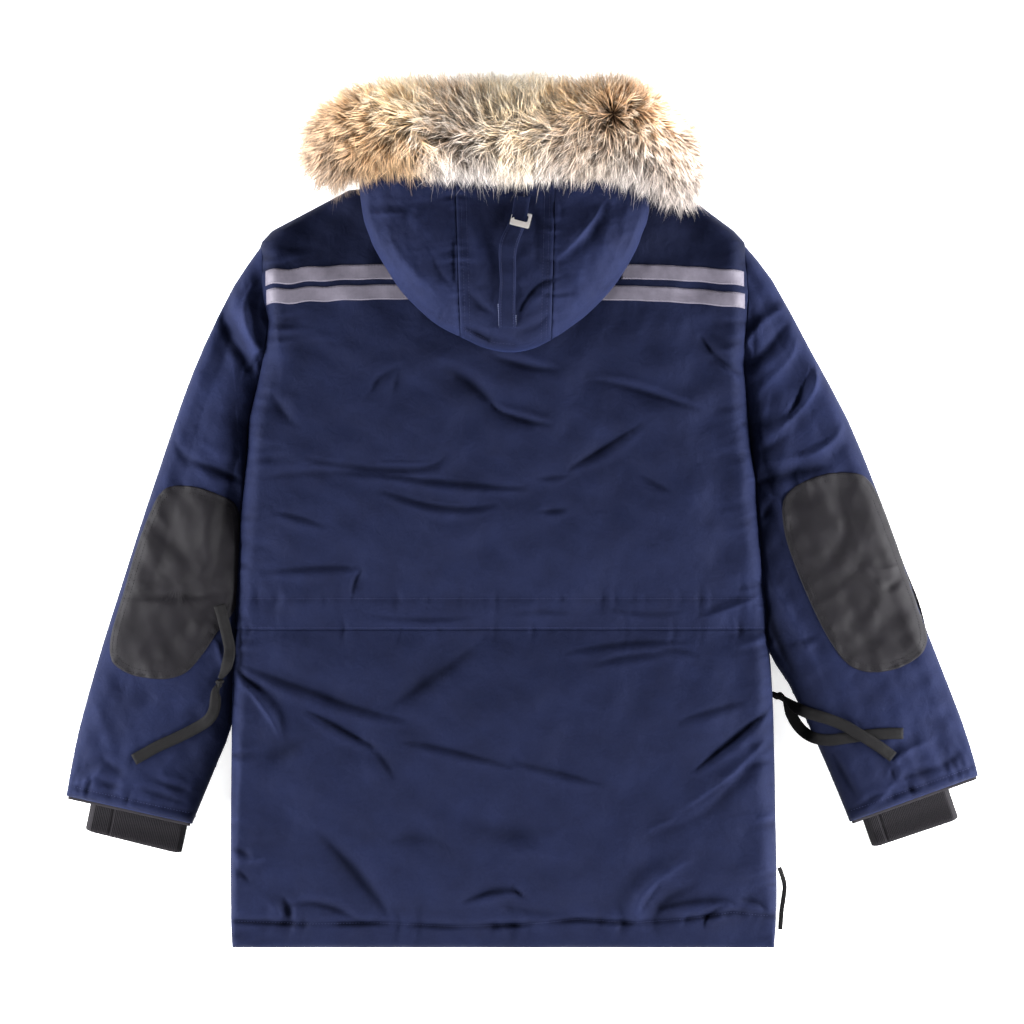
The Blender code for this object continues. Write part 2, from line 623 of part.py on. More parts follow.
def sleeve_top(side, x, y):
    outer, inner, _ = sleeve_lines(side)
    from_outer, from_inner = distance(x, y, outer), distance(x, y, inner)
    rise = crown(from_outer / SLEEVE_ROUND_OUT) * crown(from_inner / SLEEVE_ROUND_IN)
    at_seam = column(ARMHOLE_SEAM, y, 1) - (MID + EDGE)
    at_seam = np.where(y > LIFT_FOOT, at_seam, 0.0) * np.exp(-(from_inner / SEAM_SPREAD) ** 2)
    base = MID + EDGE + at_seam * crown(from_outer / SHOULDER_ROUND)
    table = LEFT_SLEEVE_FOLDS if side < 0 else RIGHT_SLEEVE_FOLDS
    height = sleeve_crown(side, x, y) + folds(x, y, table)
    return base + np.maximum(height - base, 0.0) * rise


def under_top(side, x, y):
    """Upper skin of the under half, which opens at the hem."""
    from_hem = distance(x, y, sleeve_lines(side)[2])
    closed = soft_step((from_hem - HEM_OPENING) / (HEM_SLOPE - HEM_OPENING))
    return UNDER_HEM + (MID - GAP / 2 - UNDER_HEM) * closed


def under_bottom(side, x, y):
    outer, inner, _ = sleeve_lines(side)
    away = np.minimum(distance(x, y, outer), distance(x, y, inner))
    return (under_top(side, x, y) - EDGE) * (1.0 - crown(away / SLEEVE_UNDER))


def build_sleeve(side, name, shell):
    x, y = sleeve_grid(side)
    top = sleeve_top(side, x, y)
    low = under_bottom(side, x, y)
    upper = quilt("sleeve_top_" + name, x, y, top, np.full(x.shape, MID + GAP / 2), shell)
    under = quilt("sleeve_under_" + name, x, y, under_top(side, x, y), low, shell)
    return upper, under


def build_cuff(side, name, under, knit, facing):
    """A knitted cuff that comes out of the sleeve's hem, and the facing above it."""
    x, y = sleeve_grid(side)
    start = np.array((x[-1, 0], y[-1, 0]))
    hem = np.array((x[-1, -1], y[-1, -1])) - start
    outward = np.array((hem[1], -hem[0])) * -side / np.hypot(*hem)
    if outward[1] > 0.0:
        outward = -outward
    first, last, lean = CUFFS[side]
    hem_length = np.hypot(*hem)
    count = 2 * int((last - first) * hem_length / RIB_PITCH) + 1
    across = np.linspace(first, last, count)
    depths = np.array(CUFF_DEPTHS)[:, None]
    x = start[0] + hem[0] * across + outward[0] * depths - lean * depths
    y = start[1] + hem[1] * across + outward[1] * depths
    outside = soft_step((depths + CUFF_OUT) / CUFF_OUT_RUN) + 0.0 * x
    inside = soft_step((-depths - HEM_OPENING) / CUFF_IN_RUN) + 0.0 * x
    edges = crown(np.minimum(across - first, last - across) * hem_length / CUFF_ROUND)
    low = UNDER_HEM + GAP + CUFF_IN_LIFT * inside - (UNDER_HEM + GAP) * outside
    high = MID - CUFF_UNDER_TOP - CUFF_SINK * outside
    high = np.where(depths > CUFF_TIP, high - CUFF_TIP_DROP, high)
    ribs = RIB_RELIEF * (np.arange(count) % 2)
    middle = (low + high) / 2.0
    top = middle + (high - middle) * (CUFF_SIDES[0] + (1.0 - CUFF_SIDES[0]) * edges) + ribs
    rounded = middle + (low - middle) * (CUFF_SIDES[1] + (1.0 - CUFF_SIDES[1]) * edges)
    bottom = np.where(outside > 0.9, low, rounded)
    cuff = quilt("rib_cuff_" + name, x, y, top, bottom, knit)
    keep_clear(cuff, under, toward=outward)

    across = np.linspace(*FACING_SPAN, 9)
    depths = np.array(FACING_DEPTHS)[:, None]
    x = start[0] + hem[0] * across + outward[0] * depths
    y = start[1] + hem[1] * across + outward[1] * depths
    top = np.full(x.shape, MID - GAP)
    quilt("cuff_facing_" + name, x, y, top, top - FACING_THICK, facing)


PATCH_RINGS = (0.02, 0.3, 0.55, 0.75, 0.9, 0.985, 1.0)   # shares of the way to its outline
PATCH_SIDE = 3.0      # least space between the left patch and the side of the back
PATCH_EDGE = 0.8      # how much thinner its outline is
PATCH_FLOOR = 2.0     # its underside stays this far above the garment's middle plane


def build_patch(side, name, sleeve, cloth):
    """An elbow patch: the sleeve's skin inside the patch's outline, moved out."""
    outline = np.array(LEFT_PATCH if side < 0 else RIGHT_PATCH)
    centre = outline.mean(axis=0)
    if side < 0:
        edge = np.array([float(back_edge(-1, at)) for at in outline[:, 1]])
        outline[:, 0] = np.minimum(outline[:, 0], edge - PATCH_SIDE)
    x = np.array([centre[0] + (outline[:, 0] - centre[0]) * share for share in PATCH_RINGS])
    y = np.array([centre[1] + (outline[:, 1] - centre[1]) * share for share in PATCH_RINGS])
    skin = surface_height(sleeve, x, y)
    top = skin + PATCH_THICK + PATCH_EDGE
    top[-1] -= PATCH_EDGE
    rings_top = np.stack([x, y, top], axis=-1)
    rings_low = np.stack([x, y, np.maximum(skin - BEDDING, MID + PATCH_FLOOR)], axis=-1)
    patch = tube("elbow_patch_" + name, np.concatenate([rings_top, rings_low[::-1]]), cloth)
    keep_clear(patch, sleeve)


# ---- reflective tapes ------------------------------------------------------------------

TAPE_COLUMNS = 12
TAPE_SPARE = 0.6      # covers the back's own facets between the tape's points


def build_tapes(back, tape):
    made = []
    for name, x_hood, x_arm, y_hood, y_arm in TAPES:
        share = np.linspace(0.0, 1.0, TAPE_COLUMNS)
        line_x = x_hood + (x_arm - x_hood) * share
        line_y = y_hood + (y_arm - y_hood) * share ** 2
        depths = np.array((0.0, -TAPE_WIDTH / 2, -TAPE_WIDTH))
        x = np.repeat(line_x[None, :], 3, axis=0)
        y = line_y[None, :] + depths[:, None]
        if x_arm < x_hood:
            x, y = x[:, ::-1], y[:, ::-1]
        skin = surface_height(back, x, y)
        made.append(quilt(name, x, y, skin + TAPE_THICK + TAPE_SPARE, skin - BEDDING, tape))
        keep_clear(made[-1], back)
    return made


# ---- hood ------------------------------------------------------------------------------

HOOD_ROUND = 44.0     # width over which the folded hood rounds off
HOOD_LIFT = 2.6       # underside of the hood over the back, which leaves room for the tapes
LINING_GAP = 1.6      # between the hood's shell and what is folded in beneath it
SEAM_DIP = 3.0        # depth and half width of the groove that a hood seam pulls
SEAM_REACH = 6.0
RIM_THICK = 2.0       # of the hood at its outline
NECK_INSET = 4.0      # the hood beyond this, short of the neck seam, keeps the back's height there
SLIVER = 0.2          # least width of a panel where the hood narrows past a seam
SIDE_ROWS = (387.0, 368.0, 350.0, 334.0, 318.0, 304.0, 289.0, 272.0, 254.0, 236.0, 219.0, 206.0)
SIDE_END = 197.0
CENTRE_ROWS = SIDE_ROWS + (196.0, 188.0, 181.5, 176.5)
SIDE_COLUMNS = np.array((0.0, 0.05, 0.14, 0.28, 0.45, 0.62, 0.78, 0.91, 1.0))  # outline to seam
CENTRE_COLUMNS = np.linspace(0.0, 1.0, 9)
UNDER_ROWS = (386.0, 362.0, 357.0, 350.0, 334.0, 318.0, 304.0, 289.0, 265.0, 241.0, 217.0, 200.0, 189.0)
UNDER_COLUMNS = np.linspace(0.0, 1.0, 14)
UNDER_INSET = 9.0     # of what is folded in, from the hood's outline
UNDER_BED = 5.0       # how far it reaches into the back before it is cut back
HOOD_FINE = smooth_rows(HOOD_SECTIONS, 3)
HOOD_LINE = np.concatenate([HOOD_FINE[:, (1, 0)], HOOD_FINE[::-1, (2, 0)]])


def hood_floor(x, y):
    return back_top(x, np.minimum(y, NECK_Y - NECK_INSET)) + HOOD_LIFT


def hood_skin(x, y):
    """The hood's outer skin before its seams pull it in."""
    floor = hood_floor(x, y) + RIM_THICK
    height = column(HOOD_SECTIONS, y, 3)
    return floor + (height - floor) * crown(distance(x, y, HOOD_LINE) / HOOD_ROUND)


def hood_top(x, y):
    skin = hood_skin(x, y)
    for index in (1, 2):
        away = x - column(HOOD_SEAMS, y, index)
        pull = np.exp(-(away / SEAM_REACH) ** 2) * crown(distance(x, y, HOOD_LINE) / HOOD_ROUND)
        skin = skin - SEAM_DIP * pull
    return skin


def hood_bounds(y):
    """Left edge, both seams and right edge of the hood at a height, in order."""
    left, right = float(column(HOOD_SECTIONS, y, 1)), float(column(HOOD_SECTIONS, y, 2))
    seams = [float(column(HOOD_SEAMS, y, index)) for index in (1, 2)]
    return left, max(seams[0], left + SLIVER), min(seams[1], right - SLIVER), right


def hood_panel(name, rows, columns, pick, finish):
    x, y = [], []
    for at in rows:
        low, high = pick(hood_bounds(at))
        x.append(low + (high - low) * columns)
        y.append(np.full(len(columns), at))
    x, y = np.array(x), np.array(y)
    bottom = np.maximum(hood_skin(x, y) - SKIN, hood_floor(x, y))
    return quilt(name, x, y, hood_top(x, y), bottom, finish)


def build_hood(back, tapes, shell):
    """Three panels sewn side by side, and what is folded in beneath them."""
    half = GAP / 2
    left = hood_panel("hood_left", SIDE_ROWS + (SIDE_END,), SIDE_COLUMNS,
                      lambda b: (b[0], b[1] - half), shell)
    keep_clear(left, back, toward=(0.0, 1.0))
    hood_panel("hood_centre", CENTRE_ROWS, CENTRE_COLUMNS, lambda b: (b[1] + half, b[2] - half), shell)
    hood_panel("hood_right", SIDE_ROWS + (SIDE_END,), (1.0 - SIDE_COLUMNS)[::-1],
               lambda b: (b[2] + half, b[3]), shell)

    x, y = [], []
    for at in UNDER_ROWS:
        left, _, _, right = hood_bounds(at)
        low, high = left + UNDER_INSET, right - UNDER_INSET
        x.append(low + (high - low) * UNDER_COLUMNS)
        y.append(np.full(len(UNDER_COLUMNS), at))
    x, y = np.array(x), np.array(y)
    low = np.where(y > NECK_Y, COLLAR_TOP + LINING_GAP, hood_floor(x, y) - UNDER_BED)
    under = quilt("hood_under", x, y, hood_skin(x, y) - SKIN - LINING_GAP, low, shell)
    keep_clear(under, back, *tapes, toward=(0.0, 1.0))


STRAP_LIFT = 0.7      # of the strap over the hood
SLIDER_POINTS = 16


def build_strap(webbing, steel):
    """The hood's strap, and the flat slider round it, tilted as the hood is there."""
    line = smooth_rows(STRAP_LINE, 2)
    share = np.linspace(-0.5, 0.5, 5)
    x = line[:, 0:1] + line[:, 2:3] * share
    y = line[:, 1:2] + 0.0 * share
    skin = hood_top(x, y) + STRAP_LIFT
    quilt("hood_strap", x, y, skin + STRAP_THICK, skin, webbing)

    at_x, at_y, length, width, thick, turn = SLIDER
    turn = np.radians(turn)
    ends = hood_top(np.array([at_x, at_x]), np.array([at_y - width / 2, at_y + width / 2]))
    slope = (ends[1] - ends[0]) / width
    base = ends.mean() + SLIDER_LIFT
    rings = []
    for grow, level in ((0.0, 0.0), (0.0, thick), (-SLIDER_RIM, thick), (-SLIDER_RIM, 0.0)):
        ring = []
        for angle in np.radians(np.arange(SLIDER_POINTS) * 360.0 / SLIDER_POINTS):
            reach = 1.0 / max(abs(np.cos(angle)), abs(np.sin(angle)))
            reach = min(reach, SLIDER_CORNER)
            px = (length / 2 + grow) * np.cos(angle) * reach
            py = (width / 2 + grow) * np.sin(angle) * reach
            along = px * np.sin(turn) + py * np.cos(turn)
            ring.append((at_x + px * np.cos(turn) - py * np.sin(turn), at_y + along,
                         base + level + slope * along))
        rings.append(ring)
    size, faces = len(rings[0]), []
    for i in range(4):
        for j in range(size):
            a, b = i * size + j, i * size + (j + 1) % size
            c, d = ((i + 1) % 4) * size + (j + 1) % size, ((i + 1) % 4) * size + j
            faces.append((a, b, c, d))
    add_solid("strap_slider", np.array(rings).reshape(-1, 3), faces, steel)


# ---- fur trim and collar -----------------------------------------------------------------

def fur_run(name, table, on_lower, fur):
    """One run of the trim: rounded rings, the upper run's stepped to lie on the lower one."""
    rings = []
    for x, far, near, top, low in smooth_rows(table, 2):
        centre_y, half_y = (far + near) / 2.0, (far - near) / 2.0
        floor = FUR_SPLIT if on_lower else low
        centre_z, half_z = (top + floor) / 2.0, (top - floor) / 2.0
        ring = []
        for k in range(FUR_RING):
            angle = 2.0 * np.pi * (k + 0.5) / FUR_RING
            c, s = np.cos(angle), np.sin(angle)
            y = centre_y + half_y * np.sign(c) * abs(c) ** FUR_SQUARE
            z = centre_z + half_z * np.sign(s) * abs(s) ** FUR_SQUARE
            if on_lower:
                share = (FUR_STEP_Y - y) / FUR_STEP
                z = max(z, FUR_SPLIT + (low - FUR_SPLIT) * min(max(share, 0.0), 1.0))
            ring.append([x, y, max(z, 0.0)])
        if on_lower and near < FUR_STEP_Y - 2.0 * FUR_STEP:
            square_step(ring, low)
        rings.append(ring)
    tube(name, rings, fur)


def square_step(ring, low):
    """Move the two nearest points of a ring's underside to the corners of the step in it."""
    beneath = ring[FUR_RING // 2:]
    for y, z in ((FUR_STEP_Y - FUR_STEP, low), (FUR_STEP_Y, FUR_SPLIT)):
        corner = min(beneath, key=lambda point: abs(point[1] - y))
        corner[1:] = y, z
        beneath.remove(corner)


COLLAR_STEPS = (0.0, 4.0, 14.0, 32.0)   # columns beside each end
COLLAR_SIDE, COLLAR_RIM = 2.0, 6.0      # height of an end's middle over half, and its thickness


def build_collar(shell):
    """The collar, folded down between the back and the lower run of the fur."""
    left, right, rounding = COLLAR
    steps = np.array(COLLAR_STEPS)
    across = np.concatenate([left + steps, right - steps[::-1]])
    rows = np.array((NECK_Y + GAP, (NECK_Y + FUR_STEP_Y) / 2.0, FUR_STEP_Y - 2.0 * GAP))
    x, y = np.meshgrid(across, rows)
    rise = crown(np.minimum(x - left, right - x) / rounding)
    side = COLLAR_TOP / 2.0 + COLLAR_SIDE
    low = (side - COLLAR_RIM) * (1.0 - rise)
    quilt("collar", x, y, side + (COLLAR_TOP - side) * rise, low, shell)


# ---- ties, knots and hem pull --------------------------------------------------------------

PINCH, PINCH_RUN = 0.4, 24.0   # webbing leaves a knot this narrow, and opens over this run


def ribbon(name, points, width, thick, finish, ground=None):
    """Webbing along a smooth line, each edge lying on the ground given under it."""
    line = smooth_rows(points, 3)
    ahead = np.gradient(line, axis=0)
    side = np.stack([-ahead[:, 1], ahead[:, 0]], axis=1)
    side = side / np.linalg.norm(side, axis=1)[:, None]
    run = np.linalg.norm(line - line[0], axis=1)
    half = width / 2 * (PINCH + (1.0 - PINCH) * soft_step(run / PINCH_RUN))
    rings = []
    for k in range(len(line)):
        near = line[k, :2] - side[k] * half[k]
        far = line[k, :2] + side[k] * half[k]
        heights = [line[k, 2] + (ground(*point) if ground else 0.0) for point in (near, far)]
        rings.append([(*near, heights[0]), (*far, heights[1]),
                      (*far, heights[1] + thick), (*near, heights[0] + thick)])
    tube(name, rings, finish)


def build_ties(sleeves, webbing):
    for name, points in TIES:
        side = -1 if "left" in name else 1
        ribbon(name, points, WEBBING, WEBBING_THICK, webbing,
               lambda x, y: lie_height(side, sleeves[side], x, y))
    for name, x, y, z, length, width, height, turn in KNOTS:
        bpy.ops.mesh.primitive_ico_sphere_add(subdivisions=2, radius=1.0)
        knot = bpy.context.object
        knot.name = knot.data.name = name
        knot.scale = (length * MM, width * MM, height * MM)
        knot.rotation_euler = (0.0, 0.0, np.radians(turn))
        knot.location = (x * MM, y * MM, z * MM)
        knot.data.materials.append(webbing)
        knot.data.shade_smooth()
    ribbon("hem_pull", HEM_PULL, PULL_WIDTH, PULL_THICK, webbing)


def lie_height(side, sleeve, x, y):
    """Height of what a tie lies on: the sleeve, or the seam's level beside it."""
    if not on_sleeve(side, x, y):
        return MID + EDGE
    return float(surface_height(sleeve, np.array([x]), np.array([y]))[0])


def on_sleeve(side, x, y):
    """Whether a point lies within a sleeve's outline."""
    outer, inner, _ = sleeve_lines(side)
    outline = np.concatenate([outer, inner[::-1]])
    inside = False
    for (ax, ay), (bx, by) in zip(outline, np.roll(outline, -1, axis=0)):
        if (ay > y) != (by > y) and x < ax + (bx - ax) * (y - ay) / (by - ay):
            inside = not inside
    return inside


def main():
    for old in list(bpy.data.objects):
        bpy.data.objects.remove(old)
    shell = material("navy_cotton_blend", (0.022, 0.031, 0.085), 0.78)
    patch = material("charcoal_nylon", (0.03, 0.027, 0.03), 0.7)
    webbing = material("black_webbing", (0.02, 0.02, 0.021), 0.8)
    knit = material("black_rib_knit", (0.021, 0.019, 0.021), 0.95)
    facing = material("grey_facing", (0.06, 0.057, 0.06), 0.85)
    reflective = material("grey_reflective_tape", (0.27, 0.25, 0.27), 0.5)
    steel = material("bright_steel", (0.75, 0.75, 0.74), 0.25, 1.0)
    fur = material("coyote_fur", (0.42, 0.3, 0.19), 0.9)

    back = build_back(shell)
    build_fronts(shell, facing)
    sleeves = {}
    for side, name in ((-1, "left"), (1, "right")):
        sleeve, under = build_sleeve(side, name, shell)
        sleeves[side] = sleeve
        build_cuff(side, name, under, knit, facing)
        build_patch(side, name, sleeve, patch)
    tapes = build_tapes(back, reflective)
    build_hood(back, tapes, shell)
    build_strap(shell, steel)
    fur_run("fur_upper", FUR_UPPER, True, fur)
    fur_run("fur_lower", FUR_LOWER, False, fur)
    build_collar(shell)
    build_ties(sleeves, webbing)


main()
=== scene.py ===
import bmesh
import bpy
import numpy as np
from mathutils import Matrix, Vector
from mathutils.bvhtree import BVHTree
from mathutils.kdtree import KDTree


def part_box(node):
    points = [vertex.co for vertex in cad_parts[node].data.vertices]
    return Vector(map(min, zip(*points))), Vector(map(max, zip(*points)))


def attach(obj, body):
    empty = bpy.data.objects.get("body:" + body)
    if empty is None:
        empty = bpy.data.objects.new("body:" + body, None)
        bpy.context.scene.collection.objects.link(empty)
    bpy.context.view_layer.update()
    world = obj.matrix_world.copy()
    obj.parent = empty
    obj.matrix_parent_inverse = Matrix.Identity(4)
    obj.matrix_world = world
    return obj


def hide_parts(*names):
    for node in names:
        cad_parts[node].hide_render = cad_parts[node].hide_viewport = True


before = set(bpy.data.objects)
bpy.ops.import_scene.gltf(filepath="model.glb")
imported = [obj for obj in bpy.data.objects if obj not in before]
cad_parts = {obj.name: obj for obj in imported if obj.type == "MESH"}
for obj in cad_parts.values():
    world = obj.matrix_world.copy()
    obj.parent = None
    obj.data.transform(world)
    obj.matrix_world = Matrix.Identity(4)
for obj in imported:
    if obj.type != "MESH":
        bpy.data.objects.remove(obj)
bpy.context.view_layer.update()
MM = 0.001

# ---- view -----------------------------------------------------------------------------
# The parka is seen from straight above, from far off with a long lens.
CAMERA_HEIGHT = 6.0
CLOTH_LEVEL = 0.03            # the level at which the view's width is measured
VIEW_WIDTH = 1.1264
VIEW_CENTRE = (-0.01155, 0.00055)
camera_data = bpy.data.cameras.new("camera")
camera_data.sensor_width = 36.0
camera_data.lens = camera_data.sensor_width * (CAMERA_HEIGHT - CLOTH_LEVEL) / VIEW_WIDTH
camera = bpy.data.objects.new("camera", camera_data)
camera.location = (*VIEW_CENTRE, CAMERA_HEIGHT)
bpy.context.scene.collection.objects.link(camera)
bpy.context.scene.camera = camera

# ---- fronts ---------------------------------------------------------------------------
# The two fronts lie beneath the back. They are down-filled panels of navy cotton and
# nylon cloth, peached to a soft face, and meet at a closed zip on the underside.
SHELL_NAVY, SHELL_DEEP, SHELL_WORN = "#14182b", "#111424", "#868a96"
SHELL_THREAD = 1.1            # mm between threads, about twice the real spacing so that they show
FRONT_VOXEL = 10.0 * MM
MERGE_WITHIN = 0.02 * MM      # corners of a solid's faces this near are one


def linear(colour, alpha=1.0):
    """An sRGB hex colour as the linear values that a shader takes."""
    parts = [int(colour[i:i + 2], 16) / 255.0 for i in (1, 3, 5)]
    return [c / 12.92 if c <= 0.04045 else ((c + 0.055) / 1.055) ** 2.4 for c in parts] + [alpha]


def add(tree, kind, links=None, **settings):
    """Add a node with its settings, and give its sockets a value or a link."""
    made = tree.nodes.new(kind)
    for name, value in settings.items():
        setattr(made, name, value)
    for socket, value in (links or {}).items():
        if isinstance(value, bpy.types.NodeSocket):
            tree.links.new(value, made.inputs[socket])
        else:
            made.inputs[socket].default_value = value
    return made


def surface(name):
    """A new material with its shader, ready to be dressed."""
    made = bpy.data.materials.new(name)
    made.use_nodes = True
    return made, made.node_tree, made.node_tree.nodes["Principled BSDF"]


def wave_scale(spacing_mm):
    """Scale of a Wave texture whose bands lie this far apart."""
    return 0.314159 / (spacing_mm * MM)


def plain_weave(tree, place, thread, **waver):
    """The height of a plain weave: warp and weft as crossing waves, with threads this far apart."""
    warp, weft = (add(tree, "ShaderNodeTexWave", {"Vector": place, "Scale": wave_scale(thread), **waver},
                      bands_direction=way) for way in "XY")
    return add(tree, "ShaderNodeMath", {0: warp.outputs["Fac"], 1: weft.outputs["Fac"]},
               operation="MULTIPLY").outputs[0]


def finished(tree, shader, colour, bump, roughness, gloss):
    """Link a shader's colour and relief, and set how matt it is."""
    tree.links.new(colour, shader.inputs["Base Color"])
    tree.links.new(bump.outputs["Normal"], shader.inputs["Normal"])
    shader.inputs["Roughness"].default_value = roughness
    shader.inputs["Specular IOR Level"].default_value = gloss


def peached_cotton_nylon(name, colour, deep, worn):
    """Plain-woven cotton and nylon with a brushed face: matt, with a soft bloom at its edges."""
    made, tree, shader = surface(name)
    place = add(tree, "ShaderNodeTexCoord").outputs["Object"]
    mottle = add(tree, "ShaderNodeTexNoise", {"Vector": place, "Scale": 26.0, "Detail": 5.0,
                                              "Roughness": 0.62})
    bands = add(tree, "ShaderNodeValToRGB", {"Fac": mottle.outputs["Fac"]})
    bands.color_ramp.elements[0].position, bands.color_ramp.elements[1].position = 0.3, 0.72
    bands.color_ramp.elements[0].color = linear(deep)
    bands.color_ramp.elements[1].color = linear(colour)
    bloom = add(tree, "ShaderNodeTexNoise", {"Vector": place, "Scale": 420.0, "Detail": 3.0})
    tint = add(tree, "ShaderNodeMix", {"Factor": bloom.outputs["Fac"], "A": bands.outputs["Color"],
                                       "B": linear(worn)}, data_type="RGBA", blend_type="SOFT_LIGHT")
    weave = plain_weave(tree, place, SHELL_THREAD, Distortion=0.4, Detail=1.0)
    nap = add(tree, "ShaderNodeMath", {0: weave, 1: bloom.outputs["Fac"]}, operation="ADD")
    crumple = add(tree, "ShaderNodeTexNoise", {"Vector": place, "Scale": 62.0, "Detail": 4.0,
                                               "Roughness": 0.55, "Distortion": 0.9})
    relief = add(tree, "ShaderNodeBump", {"Height": crumple.outputs["Fac"], "Strength": 0.4,
                                          "Distance": 0.0022})
    bump = add(tree, "ShaderNodeBump", {"Height": nap.outputs[0], "Strength": 0.3, "Distance": 0.0004,
                                        "Normal": relief.outputs["Normal"]})
    # painted light and shade: the colour is scaled by the 'fold' attribute, darker in troughs and where shade
    # falls, paler on ridges and where light falls
    fold = add(tree, "ShaderNodeAttribute", attribute_name="fold", attribute_type="GEOMETRY")
    fold_paint_gain = add(tree, "ShaderNodeMath", {0: fold.outputs["Fac"], 1: 1.0}, operation="ADD")
    fold_painted_colour = add(tree, "ShaderNodeVectorMath", {0: tint.outputs["Result"], "Scale": fold_paint_gain.outputs[0]},
                 operation="SCALE")
    finished(tree, shader, fold_painted_colour.outputs["Vector"], bump, roughness=0.72, gloss=0.06)
    shader.inputs["Specular Tint"].default_value = linear("#a4b4ff")
    shader.inputs["Sheen Weight"].default_value = 0.05
    shader.inputs["Sheen Roughness"].default_value = 0.28
    shader.inputs["Sheen Tint"].default_value = linear("#6c88ea")
    return made


def new_piece(name, mesh, finish, slot, *replaced):
    """Put a finished mesh into the scene as a piece of the parka."""
    piece = bpy.data.objects.new(name, mesh)
    mesh.name = name
    mesh.materials.clear()
    mesh.materials.append(finish)
    bpy.context.scene.collection.objects.link(piece)
    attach(piece, "root")
    if replaced:
        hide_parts(*replaced)
    return piece


def only(piece):
    """Select one piece and nothing else."""
    bpy.ops.object.select_all(action="DESELECT")
    piece.select_set(True)
    bpy.context.view_layer.objects.active = piece


def from_solid(name, node, voxel, finish, slot, smooth=3):
    """The cloth round one of the solids: its own form in small even faces, softened."""
    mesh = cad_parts[node].data.copy()
    work = bmesh.new()
    work.from_mesh(mesh)
    bmesh.ops.remove_doubles(work, verts=work.verts, dist=MERGE_WITHIN)
    work.to_mesh(mesh)
    work.free()
    piece = new_piece(name, mesh, finish, slot, node)
    only(piece)
    mesh.remesh_voxel_size = voxel
    bpy.ops.object.voxel_remesh()
    settle = piece.modifiers.new("settle", "SMOOTH")
    settle.factor, settle.iterations = 0.5, smooth
    bpy.ops.object.modifier_apply(modifier=settle.name)
    bpy.ops.object.shade_smooth()
    return piece


def points_of(piece):
    """A piece's points in millimetres, and its normals."""
    mesh = piece.data
    points = np.empty(len(mesh.vertices) * 3)
    mesh.vertices.foreach_get("co", points)
    normals = np.empty(len(mesh.vertices) * 3)
    mesh.vertices.foreach_get("normal", normals)
    return points.reshape(-1, 3) / MM, normals.reshape(-1, 3)


shell = peached_cotton_nylon("peached_cotton_nylon_navy", SHELL_NAVY, SHELL_DEEP, SHELL_WORN)
for side in ("left", "right"):
    front = from_solid("front_cloth_" + side, "front_" + side, FRONT_VOXEL, shell, "shell")

# ---- back -----------------------------------------------------------------------------
# One tall panel below the waist and one above it, filled with down between a shell and a
# lining. The waist channel lies above the seam that joins them, and the hem is turned up.
BACK_STEP = 2.35              # mm between the points of the cloth
BACK_WIDTH = 590.0            # the width that is cut into such steps
BACK_BED = 24.15              # the plane on which the back lies on the fronts
BACK_LIFT = 1.0               # how far its cloth lies above its solids
BACK_SOFT = (4.0, 1.6)        # points over which their facets are smoothed, along y and x
RAY_INSET = (0.15, 0.1)       # mm inside their outline at which their height is taken, along x and y
SEAM_GAP, SEAM_CLEAR = 0.3, 0.4   # between panels that are sewn together; where their height is taken
SEAM_PINCH = 0.1              # between them where the stitches pull them tight
SIDE_LAP = 2.6                # how far the back's sides stand out over what lies beside them
SIDE_ROLL, SIDE_DROP = 4.0, 3.0   # the width over which they round off, and their fall there
SIDE_TUCK = 2.4               # how far their lower edges are drawn in again
SIDE_ROUND = ((9.0, 24.0), (26.0, 24.0))   # the sides' wider rounding, left and right, at hem and waist
PLATEAU = 48.0                # a side rounds down from the level that lies this far inside
PLATEAU_BLEND, PLATEAU_SOFT = 18.0, 7.0   # how that level is blended into the rest of the panel
WALL = 2.2                    # the part of the rounding that is left out, for a steeper side
FULLNESS = 2.2                # how full every rounded edge is
LEVEL_KEPT = 0.97             # share of the level inside to which a side is raised
EDGE_LEAST, EDGE_FOOT = 0.8, 1.2   # least height of an edge over its bed, and the foot of its rounding
CALM_EDGE = 14.0              # folds die out within this distance of an outline
WAIST_SEAM, WAIST_STITCH = -128.2, -94.2
HEM_ROLL = 7.0                # the hem rounds over within this
HEM_FURROW, HEM_BULGE, HEM_BULGE_UP = (2.8, 5.5), (6.0, 1.8), 7.0   # width and depth; mm above it
FOLD_PAINTED_SHADE, FOLD_PAINTED_HIGHLIGHT, FOLD_LIMITS = 0.13, 0.07, (-0.6, 0.32)   # painted shade in troughs and painted highlight on ridges: change of colour for each mm
BACK_FOLD_GAIN = 1.25
YOKE_PAINTED_SHADOW, YOKE_SHADOW_FOOT = 0.36, (232.0, 40.0)   # painted shadow of the hood on the yoke: how dark, from which y, and over what height
BACK_LEFT_EDGE = (
    # x, y
    (-317.0, -479.0), (-318.0, -388.0), (-316.5, -240.0), (-314.0, -128.0), (-306.5, 3.0),
    (-297.6, 105.0), (-281.0, 187.0), (-277.8, 210.0), (-284.4, 272.0), (-284.4, 296.5),
)
BACK_RIGHT_EDGE = (
    # x, y
    (274.5, -479.0), (276.7, -388.0), (273.4, -240.0), (266.2, -128.0), (255.2, 3.0),
    (244.8, 105.0), (243.7, 187.0), (245.3, 210.0), (244.2, 272.0), (241.5, 296.5),
)
WAIST_LINE = ((-314.0, WAIST_SEAM), (266.0, WAIST_SEAM))
CHANNEL_LINE = ((-313.0, WAIST_STITCH), (265.0, WAIST_STITCH))
HEM_LINE = (
    # x, y
    (-317.0, -449.0), (-240.0, -452.0), (-160.0, -451.0), (-75.0, -455.0), (0.0, -453.0),
    (60.0, -447.0), (120.0, -451.0), (175.0, -447.0), (230.0, -439.0), (276.0, -444.0),
)
